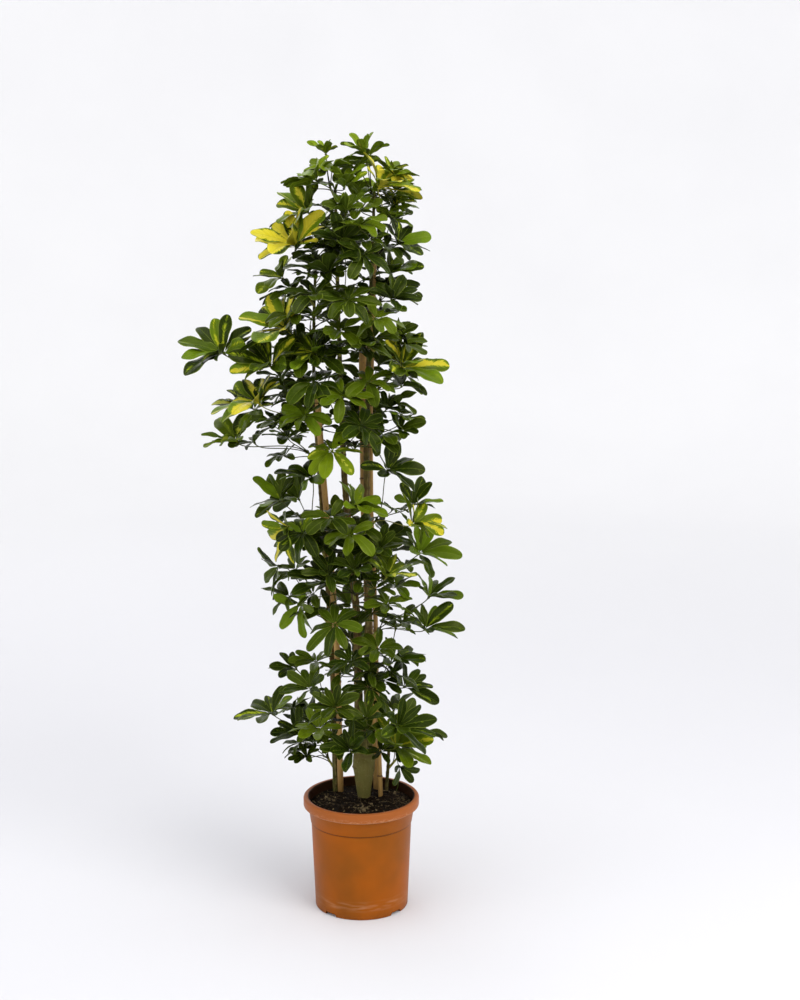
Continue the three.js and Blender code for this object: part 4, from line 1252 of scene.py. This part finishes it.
def cane_tube(gathered, line, radii, tints):
    """A tube whose last two rings go down inside it, all on its main direction."""
    tangents = np.gradient(line[:-2], axis=0)
    tangents = np.concatenate([tangents, tangents[-1:], tangents[-1:]])
    turns = angles_round(CANE_SIDES)
    points = []
    for place, tangent, radius in zip(line, tangents, radii):
        tangent = unit(tangent)
        across = unit(np.cross(tangent, (0, 1, 0)))
        other = np.cross(tangent, across)
        points.extend(place + radius * (np.outer(np.cos(turns), across) + np.outer(np.sin(turns), other)))
    points.extend([line[0], line[-1]])
    tints = np.concatenate([np.repeat(tints, CANE_SIDES, axis=0), [tints[0]], [tints[-1]]])
    gathered.add(points, tube_faces(len(line), CANE_SIDES), tint=tints)


def make_canes():
    """Bamboo canes: straight between joints, each joint a swollen ring under a fine groove, the top open."""
    for seed, (name, (radius, first, every, path)) in enumerate(CANES.items()):
        draw = random.Random(seed + CANE_SEED)
        foot, top = path[0][2], path[-1][2]
        joints = list(np.arange(first, top - 5, every))
        heights = set(np.arange(foot, top, CANE_STEP))
        for joint in joints:
            heights -= {z for z in heights if abs(z - joint) < JOINT_REACH}
            heights |= {joint + offset for offset in JOINT_RINGS}
        heights = sorted(heights | {top - 0.8, top})
        radii, tints = [], []
        internodes = [draw.random() for _ in range(len(joints) + 1)]
        for z in heights:
            offsets = [z - joint for joint in joints]
            nearest = min(offsets, key=abs)
            ring = radius + JOINT_SWELL * exp(-((nearest + 1.5) / 3.2) ** 2)
            ring -= JOINT_GROOVE * exp(-((nearest - 1) / 0.9) ** 2)
            if z == top:
                ring -= CANE_BEVEL
            radii.append(ring)
            section = sum(offset > 0 for offset in offsets)
            dark = exp(-((nearest - 0.8) / 2.2) ** 2)
            damp = 0.6 * exp(-(z - 250) / 30) if z > 250 else 0.6
            tints.append((dark, internodes[section], damp, 1))
        line = soft_line(path, heights)
        line = np.concatenate([line, [line[-1] - UP * 0.3, line[-1] - UP * HOLLOW_DEPTH]])
        radii += [radius * HOLLOW_SHARE] * 2
        # the rings inside the open top are tinted darkest: painted shade in the hollow
        tints += [(0.5, 0.5, 0.8, 1), (1, 0.5, 1, 1)]
        cane = Gathered()
        cane_tube(cane, line, radii, tints)
        cane.piece(name + "_bamboo", [BAMBOO], name, sharp=45)


def make_ties():
    """Soft bands pulled round a cane and a stem, each with a knot and two cut ends."""
    for seed, (name, (cane_name, stem_name, z)) in enumerate(TIES.items()):
        draw = random.Random(seed + TIE_SEED)
        radius, _, _, path = CANES[cane_name]
        stem = STEMS[stem_name]
        near, far = point_at(path, z), point_at(stem[2], z)
        lean = unit(point_at(path, z + TIE_HEIGHT) - near)
        gap = far - near
        turn = atan2(gap[1], gap[0])
        loop = []
        ends = ((near, radius, turn + pi / 2), (far, radius_at(stem, z), turn - pi / 2))
        for centre, round_radius, start in ends:
            for k in range(TIE_STEPS + 1):
                angle = start + pi * k / TIE_STEPS
                loop.append((centre, round_radius, np.array([cos(angle), sin(angle), 0])))
        section = []
        for k in range(TIE_SIDES):
            angle = tau * k / TIE_SIDES + pi / TIE_SIDES
            section.append((0.5 * TIE_THICKNESS * (1 + cos(angle)), TIE_HEIGHT * 0.52 * sin(angle)))
        points = []
        for centre, round_radius, way in loop:
            for spread, rise in section:
                points.append(centre + way * (round_radius + TIE_SLACK + spread) + lean * rise)
        faces = ring_faces(len(loop) + 1, len(section))
        tie = Gathered()
        tie.add(points, [tuple(corner % len(points) for corner in face) for face in faces])
        knot_way = loop[TIE_STEPS // 2][2]
        knot = near + knot_way * (radius + TIE_SLACK + TIE_THICKNESS + KNOT_OUT)
        aside = np.cross(UP, knot_way)
        bead = [knot + aside * offset for offset in KNOT]
        tie.tube(bead, list(KNOT.values()), 10)
        for way in (-1, 1):
            droop = draw.uniform(0.4, 0.9)
            steps = np.linspace(0, 1, 7)
            tail = []
            for s in steps:
                place = knot + aside * way * TAIL_REACH * s + knot_way * TAIL_OUT * s
                tail.append(place - UP * TAIL_DROP * droop * s * s)
            tie.tube(tail, [1.25] * 6 + [0.9], 6)
        tie.piece(name + "_band", [TIE], name, sharp=40)


def make_studio():
    """A pale floor that sweeps up to a wall all round, soft lights, and the camera."""
    level = FLOOR_REACH - FLOOR_BEND
    profile = [(0, 0), (1.2, 0), (2.5, 0), (level, 0)]
    profile += arc((level, FLOOR_BEND), FLOOR_BEND, -90, 0, 16)[1:]
    profile += [(FLOOR_REACH, WALL_HEIGHT), (0, WALL_HEIGHT)]
    points, faces = turned(profile, 96)
    lid = len(points) - 1
    facing_in = [face[:1] + face[:0:-1] for face in faces if lid not in face]
    data = bpy.data.meshes.new("floor")
    data.from_pydata(points[:lid], [], facing_in)
    data.shade_smooth()
    data.materials.append(floor_finish())
    floor = put("floor", data)

    target = Vector(LIGHT_TARGET)
    for name, place, size, power, colour in LIGHTS:
        lamp = bpy.data.lights.new(name, "AREA")
        lamp.size = size
        lamp.energy = power
        lamp.color = colour
        lit = put(name, lamp)
        lit.location = place
        lit.rotation_euler = (target - lit.location).to_track_quat("-Z", "Y").to_euler()
        lit.visible_camera = False

    world = bpy.data.worlds.new("studio")
    world.use_nodes = True
    background = world.node_tree.nodes["Background"]
    background.inputs["Color"].default_value = (0.975, 0.975, 0.985, 1)
    background.inputs["Strength"].default_value = 0.91
    bpy.context.scene.world = world
    bpy.context.scene.view_settings.view_transform = "Standard"

    view = bpy.data.cameras.new("camera")
    view.lens = LENS
    view.clip_end = 60
    camera = put("camera", view)
    camera.location = CAMERA_PLACE
    camera.rotation_euler = (radians(CAMERA_TILT), 0, 0)
    bpy.context.scene.camera = camera


make_studio()
make_pot()
make_soil()
make_soil_bits()
make_stems()
make_canes()
make_ties()
for shoot_index, (shoot_name, shoot_row) in enumerate(SHOOTS.items()):
    make_shoot(shoot_index, shoot_name, shoot_row)
